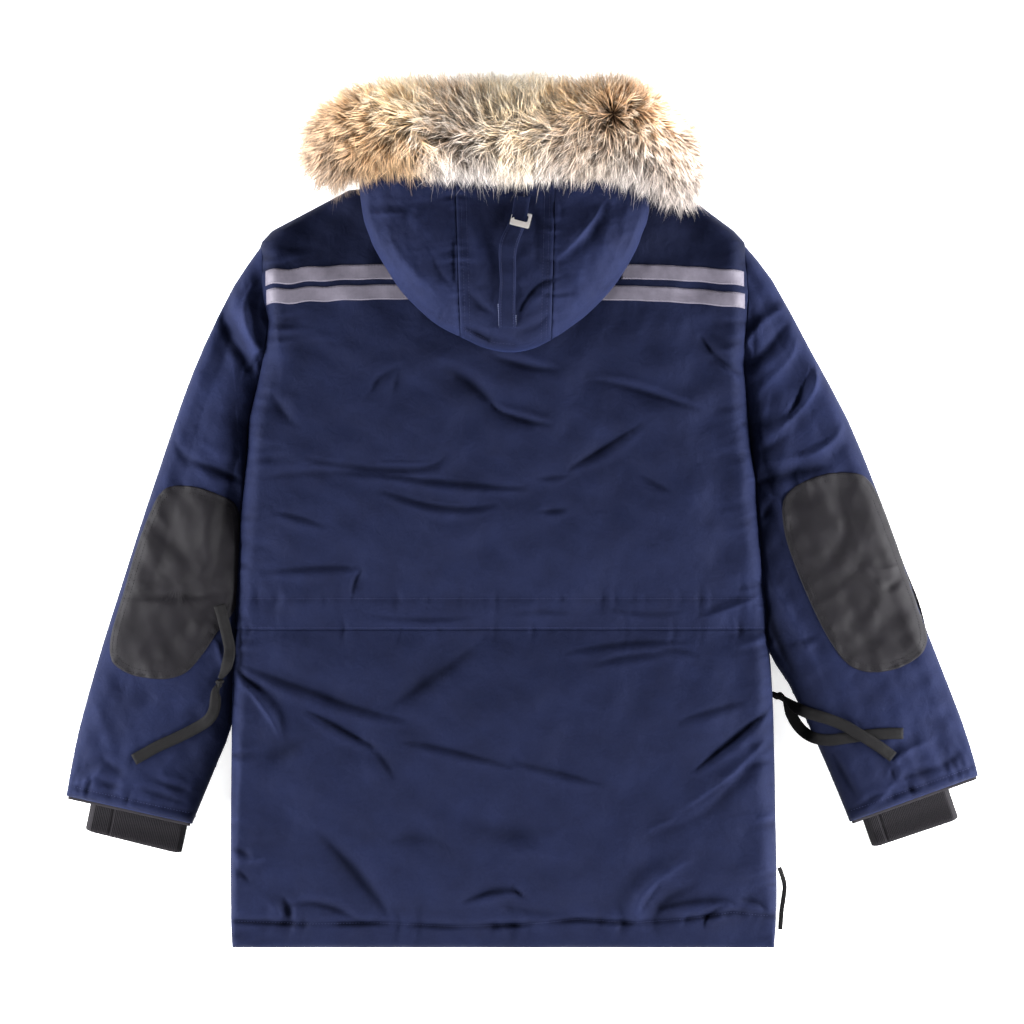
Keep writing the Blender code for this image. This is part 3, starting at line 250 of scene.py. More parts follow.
BACK_CREASES = (
    # x, y at start, middle and end, half width, rise
    (-84.0, 158.0, -50.0, 134.0, -29.0, 113.0, 8.0, -4.0),
    (-34.0, 117.0, -8.0, 103.0, 30.0, 97.0, 3.6, -4.6),
    (-34.0, 173.0, -6.0, 162.0, 36.0, 156.0, 4.5, -4.0),
    (80.0, 144.0, 114.0, 137.0, 191.0, 113.0, 4.0, -3.6),
    (131.0, 98.0, 108.0, 82.0, 52.0, 49.0, 4.4, -3.8),
    (-84.0, 64.0, -125.0, 47.0, -236.0, 59.0, 5.0, -3.4),
    (-284.0, 38.0, -220.0, 44.0, -150.0, 40.0, 5.0, -2.4),
    (1.0, 27.0, -60.0, 31.0, -153.0, 41.0, 3.6, -3.6),
    (-29.0, 9.0, -86.0, 6.0, -153.0, 24.0, 3.8, -3.4),
    (-217.0, -15.0, -245.0, -5.0, -272.0, 1.0, 3.6, -2.8),
    (48.0, 4.0, 34.0, 2.0, 20.0, 2.0, 3.0, -2.6),
    (49.0, 41.0, 34.0, 39.0, 16.0, 38.0, 3.0, -1.8),
    (160.0, 25.0, 143.0, 33.0, 129.0, 42.0, 4.0, -2.0),
    (-176.0, -60.0, -226.0, -60.0, -283.0, -65.0, 4.2, -3.0),
    (-186.0, -93.0, -183.0, -76.0, -174.0, -62.0, 4.2, -2.8),
    (-52.0, -113.0, -110.0, -116.0, -170.0, -112.0, 3.4, -1.8),
    (60.0, -112.0, 30.0, -108.0, -10.0, -110.0, 3.4, -1.6),
    (170.0, -108.0, 140.0, -110.0, 100.0, -106.0, 3.4, -1.6),
    (195.0, -116.0, 223.0, -107.0, 260.0, -92.0, 4.2, 3.0),
    (-166.0, 132.0, -153.0, 148.0, -134.0, 160.0, 6.0, -2.6),
    (-140.0, 130.0, -138.0, 144.0, -132.0, 156.0, 6.0, -2.0),
    (195.0, 192.0, 218.0, 164.0, 240.0, 152.0, 4.6, -4.0),
    (206.0, 176.0, 222.0, 158.0, 240.0, 142.0, 5.0, 2.6),
    (-270.0, 200.0, -262.0, 170.0, -266.0, 140.0, 9.0, 2.6),
    (-274.0, 130.0, -262.0, 110.0, -248.0, 96.0, 7.0, -2.4),
    # below the waist
    (177.0, -141.0, 113.0, -143.0, 48.0, -153.0, 4.0, -2.8),
    (154.0, -154.0, 112.0, -158.0, 80.0, -166.0, 4.0, -2.4),
    (190.0, -156.0, 170.0, -150.0, 150.0, -150.0, 4.0, -2.0),
    (-300.0, -192.0, -277.0, -221.0, -266.0, -242.0, 5.5, 5.0),
    (-281.0, -196.0, -300.0, -184.0, -316.0, -166.0, 3.6, -4.6),
    (-130.0, -226.0, -196.0, -209.0, -304.0, -168.0, 5.0, -4.2),
    (-163.0, -256.0, -203.0, -235.0, -236.0, -217.0, 3.8, -5.0),
    (-142.0, -292.0, -152.0, -272.0, -166.0, -256.0, 7.0, -3.2),
    (-11.0, -278.0, -88.0, -258.0, -132.0, -250.0, 4.0, -3.6),
    (86.0, -297.0, 40.0, -285.0, -12.0, -271.0, 4.0, -3.2),
    (-52.0, -147.0, -89.0, -175.0, -146.0, -212.0, 11.0, -4.2),
    (273.0, -213.0, 240.0, -240.0, 190.0, -281.0, 4.4, -6.0),
    (264.0, -252.0, 200.0, -308.0, 138.0, -348.0, 6.0, 5.4),
    (222.0, -294.0, 180.0, -324.0, 150.0, -338.0, 3.6, -3.6),
    (241.0, -207.0, 200.0, -218.0, 170.0, -229.0, 5.0, -2.8),
    (131.0, -458.0, 130.0, -420.0, 182.0, -381.0, 8.0, 4.6),
    (148.0, -462.0, 152.0, -432.0, 190.0, -408.0, 9.0, -3.4),
    (-222.0, -353.0, -180.0, -398.0, -148.0, -442.0, 9.0, -4.6),
    (-2.0, -418.0, -26.0, -414.0, -66.0, -427.0, 3.8, -4.2),
    (-12.0, -408.0, -6.0, -416.0, 6.0, -424.0, 3.6, -2.6),
    (-254.0, -432.0, -220.0, -431.0, -176.0, -450.0, 4.4, -4.0),
    (-262.0, -424.0, -256.0, -440.0, -254.0, -452.0, 4.2, -3.4),
    (-280.0, -426.0, -270.0, -436.0, -266.0, -450.0, 5.0, 3.0),
    (232.0, -429.0, 205.0, -424.0, 149.0, -434.0, 4.2, -4.0),
    (222.0, -432.0, 206.0, -441.0, 200.0, -454.0, 4.0, -4.0),
    (266.0, -434.0, 252.0, -426.0, 236.0, -426.0, 4.0, -3.2),
    (182.0, -436.0, 176.0, -444.0, 174.0, -455.0, 4.0, 2.6),
    (-298.0, -375.0, -308.0, -371.0, -318.0, -367.0, 5.0, -3.6),
    (-300.0, -404.0, -308.0, -396.0, -316.0, -390.0, 5.0, -3.0),
    (-281.0, -379.0, -290.0, -380.0, -300.0, -384.0, 5.0, 2.4),
    (60.0, -438.0, 20.0, -440.0, -20.0, -432.0, 6.0, -2.4),
    (-60.0, -340.0, -10.0, -352.0, 40.0, -344.0, 14.0, -2.6),
    (-240.0, -248.0, -262.0, -262.0, -284.0, -264.0, 13.0, -3.2),
    (60.0, -380.0, 20.0, -372.0, -16.0, -376.0, 12.0, 2.2),
    (-146.0, -360.0, -110.0, -356.0, -80.0, -366.0, 9.0, -2.0),
)
BACK_GATHERS = (
    # stitched line, reach, pitch, rise, seed
    (WAIST_LINE, 11.0, 13.0, 0.6, 4), (CHANNEL_LINE, 11.0, 14.0, 0.6, 5),
    (BACK_LEFT_EDGE, 22.0, 19.0, 1.1, 6), (BACK_RIGHT_EDGE, 22.0, 19.0, 1.1, 7),
    (BACK_LEFT_EDGE, 7.0, 9.0, 0.7, 16), (BACK_RIGHT_EDGE, 7.0, 9.0, 0.7, 17),
    (HEM_LINE, 12.0, 21.0, 0.8, 15),
)
BACK_FURROWS = ((CHANNEL_LINE, 3.0, 0.8), (WAIST_LINE, 3.2, 0.5))   # stitched line, width, depth
BACK_LUMPS = (
    # rise, size, seed, how much flatter than wide
    (2.2, 95.0, 1, 1.0), (1.1, 56.0, 8, 1.4), (0.45, 30.0, 2, 1.0), (0.12, 13.0, 3, 1.0),
)


def swell(x, y, size, seed, waves=14):
    """A smooth random height, about -1 to 1, whose lumps are about this size in millimetres."""
    random = np.random.default_rng(seed)
    total = np.zeros(np.shape(x))
    for _ in range(waves):
        turn, phase = random.uniform(0.0, 2.0 * np.pi, 2)
        length = size * random.uniform(0.7, 1.9)
        total += np.cos(2.0 * np.pi * (x * np.cos(turn) + y * np.sin(turn)) / length + phase)
    return total / np.sqrt(waves)


def lumps(x, y, table):
    """The uneven filling: swells from rows of rise, size, seed and flatness."""
    return sum(rise * swell(x, flat * y, size, seed) for rise, size, seed, flat in table)


def ramp(value, start, over):
    """A share that runs from 0 at the start to 1 this much further on."""
    return np.clip((value - start) / over, 0.0, 1.0)


def near(x, y, line):
    """How far points lie from a line, and how far along it, in millimetres."""
    away, along, run = np.full(np.shape(x), 1e9), np.zeros(np.shape(x)), 0.0
    for (ax, ay), (bx, by) in zip(line[:-1], line[1:]):
        length = np.hypot(bx - ax, by - ay)
        t = np.clip(((x - ax) * (bx - ax) + (y - ay) * (by - ay)) / length ** 2, 0.0, 1.0)
        gap = np.hypot(x - ax - t * (bx - ax), y - ay - t * (by - ay))
        along = np.where(gap < away, run + t * length, along)
        away = np.minimum(gap, away)
        run += length
    return away, along


def creases(x, y, table):
    """Folds that die out at both ends: each trough with a soft ridge on its left, or a ridge
    with a narrow trough."""
    total = np.zeros(np.shape(x))
    for x0, y0, x1, y1, x2, y2, width, rise in table:
        t = np.linspace(0.0, 1.0, 9)[:, None]
        start, middle, end = np.array((x0, y0)), np.array((x1, y1)), np.array((x2, y2))
        bend = 2.0 * middle - (start + end) / 2.0
        line = (1 - t) ** 2 * start + 2 * t * (1 - t) * bend + t ** 2 * end
        away, along = near(x, y, line)
        share = along / np.hypot(*np.diff(line, axis=0).T).sum()
        chord = end - start
        hand = np.sign(chord[0] * (y - y0) - chord[1] * (x - x0) - chord[0] * (y1 - y0) * 0.5
                       + chord[1] * (x1 - x0) * 0.5)
        u = hand * away / (width * (0.7 + 0.5 * np.sin(np.pi * share)))
        fold = 0.62 * np.exp(-(u / 0.55) ** 2) + 0.38 * np.exp(-(u / 1.6) ** 2)
        beside = 0.45 * np.exp(-((u - 1.7) / 1.2) ** 2)
        total += rise * (fold - beside) * np.sin(np.pi * (0.08 + 0.84 * share))
    return total


def puckers(x, y, line, reach, pitch, rise, seed):
    """Short gathers that stand across a stitched line, strongest beside it."""
    random = np.random.default_rng(seed)
    away, along = near(x, y, line)
    ripple, length = np.zeros(np.shape(x)), np.zeros(np.shape(x))
    for _ in range(7):
        phase = random.uniform(0.0, 2.0 * np.pi)
        lean = random.uniform(-0.35, 0.35)
        ripple += np.cos(2.0 * np.pi * (along + lean * away) / (pitch * random.uniform(0.6, 1.7)) + phase)
        length += np.cos(2.0 * np.pi * along / (pitch * random.uniform(2.5, 6.0)) + phase)
    wide = reach * np.clip(1.0 + 0.2 * length, 0.35, 2.0)
    return rise * ripple / 2.6 * np.clip(0.6 + 0.3 * length, 0.0, 1.6) * np.exp(-(away / wide) ** 1.5)


def groove(x, y, line, width, depth):
    """The furrow that a row of stitches pulls into padding."""
    return -depth * np.exp(-(near(x, y, line)[0] / width) ** 2)


def stitched(x, y, gathers, furrows):
    """What rows of stitches do to padding: gathers across them and a furrow along each."""
    return sum(puckers(x, y, *row) for row in gathers) + sum(groove(x, y, *row) for row in furrows)


def spans(node, rows):
    """Where a solid's left and right outlines lie at each height on the garment."""
    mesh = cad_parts[node].data
    points = np.array([v.co for v in mesh.vertices]) / MM
    ends = points[np.array([e.vertices[:] for e in mesh.edges])]
    low, high = ends[:, :, 1].min(axis=1), ends[:, :, 1].max(axis=1)
    left, right = [], []
    for y in rows:
        crossed = ends[(low <= y) & (high >= y) & (high > low)]
        t = (y - crossed[:, 0, 1]) / (crossed[:, 1, 1] - crossed[:, 0, 1])
        x = crossed[:, 0, 0] + t * (crossed[:, 1, 0] - crossed[:, 0, 0])
        left.append(x.min())
        right.append(x.max())
    return np.array(left), np.array(right)


def skin_tree(*objects):
    """The outer faces of some objects, to find what lies on them."""
    points, faces, count = [], [], 0
    for item in objects:
        points += [v.co.copy() for v in item.data.vertices]
        faces += [[i + count for i in face.vertices] for face in item.data.polygons]
        count = len(points)
    return BVHTree.FromPolygons(points, faces)


def height_on(tree, x, y, beyond=25.5, below=False):
    """Height of a skin at points in millimetres, and this much where there is none."""
    found = np.full(np.shape(x), beyond)
    side = -1.0 if below else 1.0
    for at in np.ndindex(found.shape):
        hit = tree.ray_cast((x[at] * MM, y[at] * MM, side), (0.0, 0.0, -side))[0]
        if hit:
            found[at] = hit.z / MM
    return found


def softened(field, sigma, axis):
    """A grid of heights smoothed along one axis."""
    reach = int(3 * sigma) + 1
    weights = np.exp(-0.5 * (np.arange(-reach, reach + 1) / sigma) ** 2)
    weights /= weights.sum()
    padded = np.pad(field, [(reach, reach) if k == axis else (0, 0) for k in (0, 1)], mode="reflect",
                    reflect_type="odd")
    return np.apply_along_axis(lambda row: np.convolve(row, weights, mode="valid"), axis, padded)


def crowded(count):
    """Shares from 0 to 1 that lie closer together at both ends."""
    even = np.linspace(0.0, 1.0, count)
    return even - 0.35 * np.sin(2.0 * np.pi * even) / (2.0 * np.pi)


def grid_faces(rows, columns):
    """The faces of a grid of points, and the points round its outline."""
    corner = (np.arange(rows - 1)[:, None] * columns + np.arange(columns - 1)).ravel()
    faces = np.stack([corner, corner + 1, corner + columns + 1, corner + columns], axis=1)
    around = list(range(columns)) + [i * columns + columns - 1 for i in range(1, rows)]
    around += [(rows - 1) * columns + j for j in range(columns - 2, -1, -1)]
    return faces, around + [i * columns for i in range(rows - 2, 0, -1)]


def mesh_of(name, points, faces, smooth=True, mend=False):
    """A mesh from points in millimetres, with its faces turned outward if asked."""
    mesh = bpy.data.meshes.new(name)
    mesh.from_pydata((np.asarray(points) * MM).tolist(), [], faces)
    if mend:
        work = bmesh.new()
        work.from_mesh(mesh)
        bmesh.ops.recalc_face_normals(work, faces=work.faces)
        work.to_mesh(mesh)
        work.free()
    if smooth:
        mesh.shade_smooth()
    return mesh


def sewn_panel(name, x, y, top, bottom, finish, slot, *replaced, tuck=0.0):
    """A padded panel over a fine grid, walled at its outline and closed by one face beneath."""
    faces, around = grid_faces(*x.shape)
    points = np.stack([x, y, top], axis=-1).reshape(-1, 3)
    beneath = points[around].copy()
    lowest = np.broadcast_to(bottom, x.shape).reshape(-1)[around]
    beneath[:, 2] = np.minimum(lowest, beneath[:, 2] - 0.3)
    out = 2.0 * (beneath[:, 0] - points[:, 0].min()) / np.ptp(points[:, 0]) - 1.0
    beneath[:, 0] -= tuck * np.sign(out) * ramp(abs(out), 0.9, 0.09)
    count, size = len(points), len(around)
    faces = faces.tolist() + [(around[(k + 1) % size], around[k], count + k, count + (k + 1) % size)
                              for k in range(size)]
    faces.append(tuple(range(count + size - 1, count - 1, -1)))
    mesh = mesh_of(name, np.concatenate([points, beneath]), faces)
    return new_piece(name, mesh, finish, slot, *replaced)


def paint_fold_light_and_shade(piece, rise, painted_light_shade=0.0):
    """Paint a panel's folds into its colour: painted highlight where its cloth stands up, painted shade where
    it sinks, plus painted light and shade given for whole regions.
    """
    fold = piece.data.attributes.new("fold", "FLOAT", "POINT")
    shade = np.zeros(len(piece.data.vertices), dtype=np.float32)
    change = np.clip(np.where(rise < 0.0, FOLD_PAINTED_SHADE, FOLD_PAINTED_HIGHLIGHT) * rise, *FOLD_LIMITS)
    shade[:rise.size] = (change + painted_light_shade).ravel()
    fold.data.foreach_set("value", shade)


def crown(t):
    """The height of a full, rounded edge, from 0 to 1."""
    return np.sqrt(1.0 - (1.0 - np.clip(t, 0.0, 1.0)) ** FULLNESS)


def rounded_up(z, level, t, bed):
    """Heights raised to a level inside, and to its rounded edge where t runs from 0 to 1."""
    return np.maximum(z, bed + (level - bed) * LEVEL_KEPT * crown(t))


def rolled(z, bed, t):
    """Heights that round down to just above their bed where t runs from 1 to 0."""
    return bed + EDGE_FOOT + (z - bed - EDGE_FOOT) * crown(t)


def calm(edge):
    """How much of the folds is left this far inside an outline."""
    share = ramp(edge, 0.0, CALM_EDGE)
    return share * (2.0 - share)


def hem_fold(x, y):
    """The filling bulges over the row of stitches at the hem, here more and there less."""
    rise = groove(x, y, HEM_LINE, *HEM_FURROW) - groove(x, y - HEM_BULGE_UP, HEM_LINE, *HEM_BULGE)
    return rise * np.clip(0.85 + 0.45 * swell(x, 0.0 * y, 60.0, 18), 0.3, 1.5)


back_solids = skin_tree(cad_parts["back_lower"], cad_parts["back_upper"])
hem_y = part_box("back_lower")[0].y / MM
neck_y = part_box("back_upper")[1].y / MM
skirt_rows = np.linspace(hem_y, WAIST_SEAM, int((WAIST_SEAM - hem_y) / BACK_STEP))
yoke_rows = np.linspace(WAIST_SEAM, neck_y, int((neck_y - WAIST_SEAM) / BACK_STEP))[1:]
back_rows = np.concatenate([skirt_rows, yoke_rows])
left, right = spans("back_lower", np.minimum(back_rows, WAIST_SEAM - SEAM_GAP))
upper_left, upper_right = spans("back_upper", np.maximum(back_rows, WAIST_SEAM + SEAM_GAP))
above = back_rows > WAIST_SEAM
left, right = np.where(above, upper_left, left), np.where(above, upper_right, right)
shares = crowded(int(BACK_WIDTH / BACK_STEP))
back_x = (left - SIDE_LAP)[:, None] + (right - left + 2.0 * SIDE_LAP)[:, None] * shares
back_y = np.repeat(back_rows[:, None], len(shares), axis=1)
inner_x = left[:, None] + RAY_INSET[0] + (right - left - 2.0 * RAY_INSET[0])[:, None] * shares
inner_y = np.clip(back_y, hem_y + RAY_INSET[1], neck_y - RAY_INSET[1])
inner_y = np.where(abs(inner_y - WAIST_SEAM) < SEAM_GAP, WAIST_SEAM + SEAM_CLEAR, inner_y)
back_z = height_on(back_solids, inner_x, inner_y)
back_z = softened(softened(back_z, BACK_SOFT[0], 0), BACK_SOFT[1], 1)
edge = np.minimum(back_x - left[:, None], right[:, None] - back_x) + SIDE_LAP
for hand, (side_x, inward) in enumerate(((left, PLATEAU), (right, -PLATEAU))):
    level = np.array([np.interp(side_x[k] + inward, back_x[k], back_z[k]) for k in range(len(back_rows))])
    round_over = np.interp(back_rows, (hem_y, WAIST_SEAM), SIDE_ROUND[hand])[:, None]
    beside = abs(back_x - side_x[:, None]) < PLATEAU
    rounded = rounded_up(back_z, level[:, None], (edge + WALL) / round_over, BACK_BED)
    back_z = np.where(beside, rounded, back_z)
    blend = np.exp(-((abs(back_x - side_x[:, None]) - PLATEAU) / PLATEAU_BLEND) ** 2)
    back_z += blend * (softened(back_z, PLATEAU_SOFT, 1) - back_z)
back_folds = BACK_FOLD_GAIN * creases(back_x, back_y, BACK_CREASES) + hem_fold(back_x, back_y)
back_folds += stitched(back_x, back_y, BACK_GATHERS, BACK_FURROWS)
back_z += (back_folds + lumps(back_x, back_y, BACK_LUMPS)) * calm(edge)
side_fall = 1.0 - ramp(edge, 0.0, SIDE_ROLL)
back_z += BACK_LIFT - SIDE_DROP * (1.0 - np.sqrt(np.clip(1.0 - side_fall ** 2, 0.0, 1.0)))
back_z = np.maximum(rolled(back_z, BACK_BED, (back_y - hem_y) / HEM_ROLL), BACK_BED + EDGE_LEAST)
split = len(skirt_rows)
lower_y, upper_y = back_y[:split].copy(), back_y[split - 1:].copy()
lower_y[-1] -= SEAM_PINCH / 2
upper_y[0] += SEAM_PINCH / 2
back_lower = sewn_panel("back_cloth_lower", back_x[:split], lower_y, back_z[:split], BACK_BED, shell,
                        "shell", "back_lower", tuck=SIDE_TUCK)
back_upper = sewn_panel("back_cloth_upper", back_x[split - 1:], upper_y, back_z[split - 1:], BACK_BED,
                        shell, "shell", "back_upper", tuck=SIDE_TUCK)
paint_fold_light_and_shade(back_lower, back_folds[:split])
# painted shadow of the hood and its fur on the yoke
paint_fold_light_and_shade(back_upper, back_folds[split - 1:], -YOKE_PAINTED_SHADOW * ramp(upper_y, *YOKE_SHADOW_FOOT))
back_skin = skin_tree(back_lower, back_upper)

# ---- sleeves --------------------------------------------------------------------------
# Two-piece sleeves, filled like the body: an upper half set into the armhole, and an under
# half that lies flat. Soft folds gather at the elbow and where the sleeve meets the side.
UNDER_VOXEL = 8.0 * MM
SLEEVE_ROWS, SLEEVE_COLUMNS = 250, 66
SLEEVE_BED = 24.15            # the plane on which they lie on their under halves
SLEEVE_ROLL, SLEEVE_DROP = 5.0, 2.4   # the width over which their sides round off, and their fall there
SLEEVE_FIT = 0.99             # their solid's height is taken this far out from its middle
SLEEVE_SOFT = (5.0, 2.2)      # points over which its facets are smoothed, down and across
SLEEVE_ROUND = (26.0, 30.0, 14.0)   # outside, inside at the hem, and inside beside the body
SLEEVE_TURN = (-230.0, -150.0)   # y between which the inside's rounding changes
SLEEVE_CREST = 7.0            # how far the filling stands up along the middle
CREST_LEAN = 0.68             # under 1, so that it lies nearer the body
ARMHOLE_FOOT = 72.0           # y at which the armhole ends below
SLEEVE_PAINTED_LIGHT = 0.1            # painted light: how much paler the sleeves are painted than the body
BESIDE_PAINTED_SHADE, BESIDE_SPAN = 0.5, 0.38   # painted shade beside the body, and over what share of their width
SHOULDER_PAINTED_LIGHT, SHOULDER_FOOT, SHOULDER_SIDE = 0.45, (40.0, 80.0), (0.1, 0.3)   # painted light near the shoulder: how much, from which y and share
SLEEVE_LUMPS = ((1.5, 80.0, 21, 1.0), (0.6, 30.0, 22, 1.0), (0.15, 13.0, 23, 1.0))
SLEEVE_CREASES = {
    "left": (
        # x, y at start, middle and end, half width, rise
        (-334.0, 236.0, -321.0, 200.0, -294.0, 152.0, 12.0, -12.0),
        (-296.0, 249.0, -304.0, 212.0, -284.0, 172.0, 7.0, 7.0),
        (-286.0, 234.0, -288.0, 216.0, -280.0, 198.0, 4.0, 3.0),
        (-312.0, 262.0, -324.0, 236.0, -332.0, 216.0, 9.0, -2.6),
        (-307.0, 35.0, -330.0, 44.0, -358.0, 56.0, 4.6, -5.0),
        (-305.0, 58.0, -330.0, 64.0, -352.0, 78.0, 9.0, 3.0),
        (-382.0, 86.0, -372.0, 62.0, -350.0, 52.0, 6.0, -2.6),
        (-310.0, 130.0, -318.0, 104.0, -306.0, 76.0, 12.0, -3.6),
        (-315.0, -86.0, -370.0, -91.0, -437.0, -91.0, 4.4, -3.4),
        (-406.0, -10.0, -378.0, -40.0, -352.0, -70.0, 12.0, -3.0),
        (-330.0, 10.0, -346.0, -20.0, -340.0, -52.0, 12.0, 2.4),
        (-345.0, -104.0, -380.0, -132.0, -420.0, -160.0, 14.0, -2.4),
        (-336.0, -142.0, -330.0, -156.0, -326.0, -172.0, 7.0, 4.0),
        (-492.0, -296.0, -474.0, -292.0, -458.0, -278.0, 5.0, 4.0),
        (-474.0, -292.0, -478.0, -304.0, -480.0, -314.0, 4.0, -3.4),
        (-470.0, -290.0, -456.0, -298.0, -440.0, -300.0, 4.4, -3.2),
        (-462.0, -268.0, -452.0, -278.0, -436.0, -284.0, 5.0, -2.4),
        (-404.0, -292.0, -386.0, -300.0, -368.0, -304.0, 4.0, -3.4),
        (-420.0, -302.0, -396.0, -310.0, -372.0, -318.0, 4.4, -3.0),
        (-376.0, -262.0, -390.0, -276.0, -396.0, -290.0, 7.0, 2.4),
        (-470.0, -210.0, -456.0, -236.0, -452.0, -262.0, 10.0, 2.0),
        (-414.0, -220.0, -396.0, -206.0, -372.0, -204.0, 10.0, 2.0),
    ),
    "right": (
        (240.0, 176.0, 258.0, 204.0, 284.0, 223.0, 5.5, 4.6),
        (289.0, 206.0, 268.0, 180.0, 248.0, 158.0, 7.0, -4.4),
        (312.0, 180.0, 318.0, 134.0, 262.0, 79.0, 5.5, 5.0),
        (306.0, 150.0, 296.0, 112.0, 256.0, 96.0, 10.0, -3.6),
        (300.0, 190.0, 290.0, 166.0, 262.0, 140.0, 6.0, 3.0),
        (350.0, 98.0, 324.0, 68.0, 262.0, 53.0, 6.0, 4.6),
        (336.0, 50.0, 300.0, 44.0, 256.0, 33.0, 6.5, -5.0),
        (256.0, 66.0, 272.0, 72.0, 290.0, 84.0, 6.0, -3.0),
        (262.0, 18.0, 282.0, 6.0, 286.0, -24.0, 8.0, 4.0),
        (262.0, -6.0, 268.0, 2.0, 272.0, 12.0, 5.0, -3.0),
        (272.0, -76.0, 298.0, -124.0, 322.0, -170.0, 9.0, 4.4),
        (300.0, -180.0, 280.0, -140.0, 264.0, -88.0, 8.0, -5.0),
        (322.0, -137.0, 306.0, -140.0, 294.0, -146.0, 4.0, -3.0),
        (420.0, -64.0, 404.0, -80.0, 396.0, -84.0, 4.0, -3.0),
        (416.0, -56.0, 398.0, -62.0, 384.0, -60.0, 4.0, 2.0),
        (340.0, 20.0, 352.0, -20.0, 330.0, -50.0, 12.0, -3.0),
        (376.0, -40.0, 392.0, -80.0, 380.0, -120.0, 12.0, 3.0),
        (354.0, -120.0, 372.0, -136.0, 396.0, -140.0, 9.0, -2.4),
        (341.0, -265.0, 354.0, -290.0, 366.0, -310.0, 4.0, -3.4),
        (400.0, -288.0, 416.0, -266.0, 446.0, -252.0, 5.5, 4.2),
        (408.0, -296.0, 392.0, -314.0, 376.0, -326.0, 5.0, 4.0),
        (412.0, -294.0, 430.0, -286.0, 460.0, -280.0, 4.4, -3.6),
        (412.0, -300.0, 428.0, -304.0, 442.0, -306.0, 4.4, -3.4),
        (368.0, -322.0, 388.0, -312.0, 406.0, -304.0, 4.0, -3.0),
        (402.0, -272.0, 406.0, -284.0, 408.0, -296.0, 4.4, -3.6),
        (480.0, -262.0, 468.0, -272.0, 452.0, -278.0, 5.0, -2.4),
        (404.0, -196.0, 430.0, -212.0, 462.0, -214.0, 12.0, 2.6),
    ),
}
SLEEVE_HEMS = {
    # inner end and outer end of each sleeve's hem
    "left": ((-363.6, -342.7), (-502.2, -311.9)),
    "right": ((360.3, -340.5), (501.6, -289.9)),
}
ARMHOLES = {"left": ((-299.0, 72.0), (-290.0, 138.0), (-280.0, 200.0), (-284.0, 250.0), (-284.0, 296.0)),
            "right": ((248.0, 72.0), (243.0, 138.0), (245.0, 200.0), (247.0, 240.0), (242.0, 296.0))}
HEM_ROW, GATHER_ROW = 12.0, 34.0   # mm from a sleeve's hem to its stitches, and to its wider gathers


def hem_row(side, inset):
    """The line that runs beside a sleeve's hem, this far up the sleeve."""
    inner, outer = np.array(SLEEVE_HEMS[side])
    run = (outer - inner) / np.hypot(*(outer - inner))
    up = np.array((-run[1], run[0]))
    up = up if up[1] > 0.0 else -up
    return inner + up * inset, outer + up * inset


def turned(side, *grids):
    """Grids that run down a sleeve, turned so that the faces between their points look up."""
    grids = [np.flip(grid, axis=0) for grid in grids]
    return [np.flip(grid, axis=1) for grid in grids] if side == "left" else grids


def sleeve_grid(side, node, shares):
    """Rows of points across a sleeve, from the armhole to the hem."""
    near_side, far_side = (1, 0) if side == "left" else (0, 1)
    (_, inner_foot), (_, outer_foot) = SLEEVE_HEMS[side]
    outer_y = np.linspace(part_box(node)[1].y / MM - 0.1, outer_foot, SLEEVE_ROWS)
    inner_y = np.linspace(ARMHOLE_FOOT, inner_foot + 0.05, SLEEVE_ROWS)
    outer_x = spans(node, outer_y)[far_side]
    inner_x = spans(node, inner_y)[near_side]
    x = inner_x[:, None] + (outer_x - inner_x)[:, None] * shares
    y = inner_y[:, None] + (outer_y - inner_y)[:, None] * shares
    fade = np.exp(-(np.arange(SLEEVE_ROWS) / 12.0) ** 2)[:, None]
    return x + (spans(node, y[0])[near_side] - x[0]) * fade, y


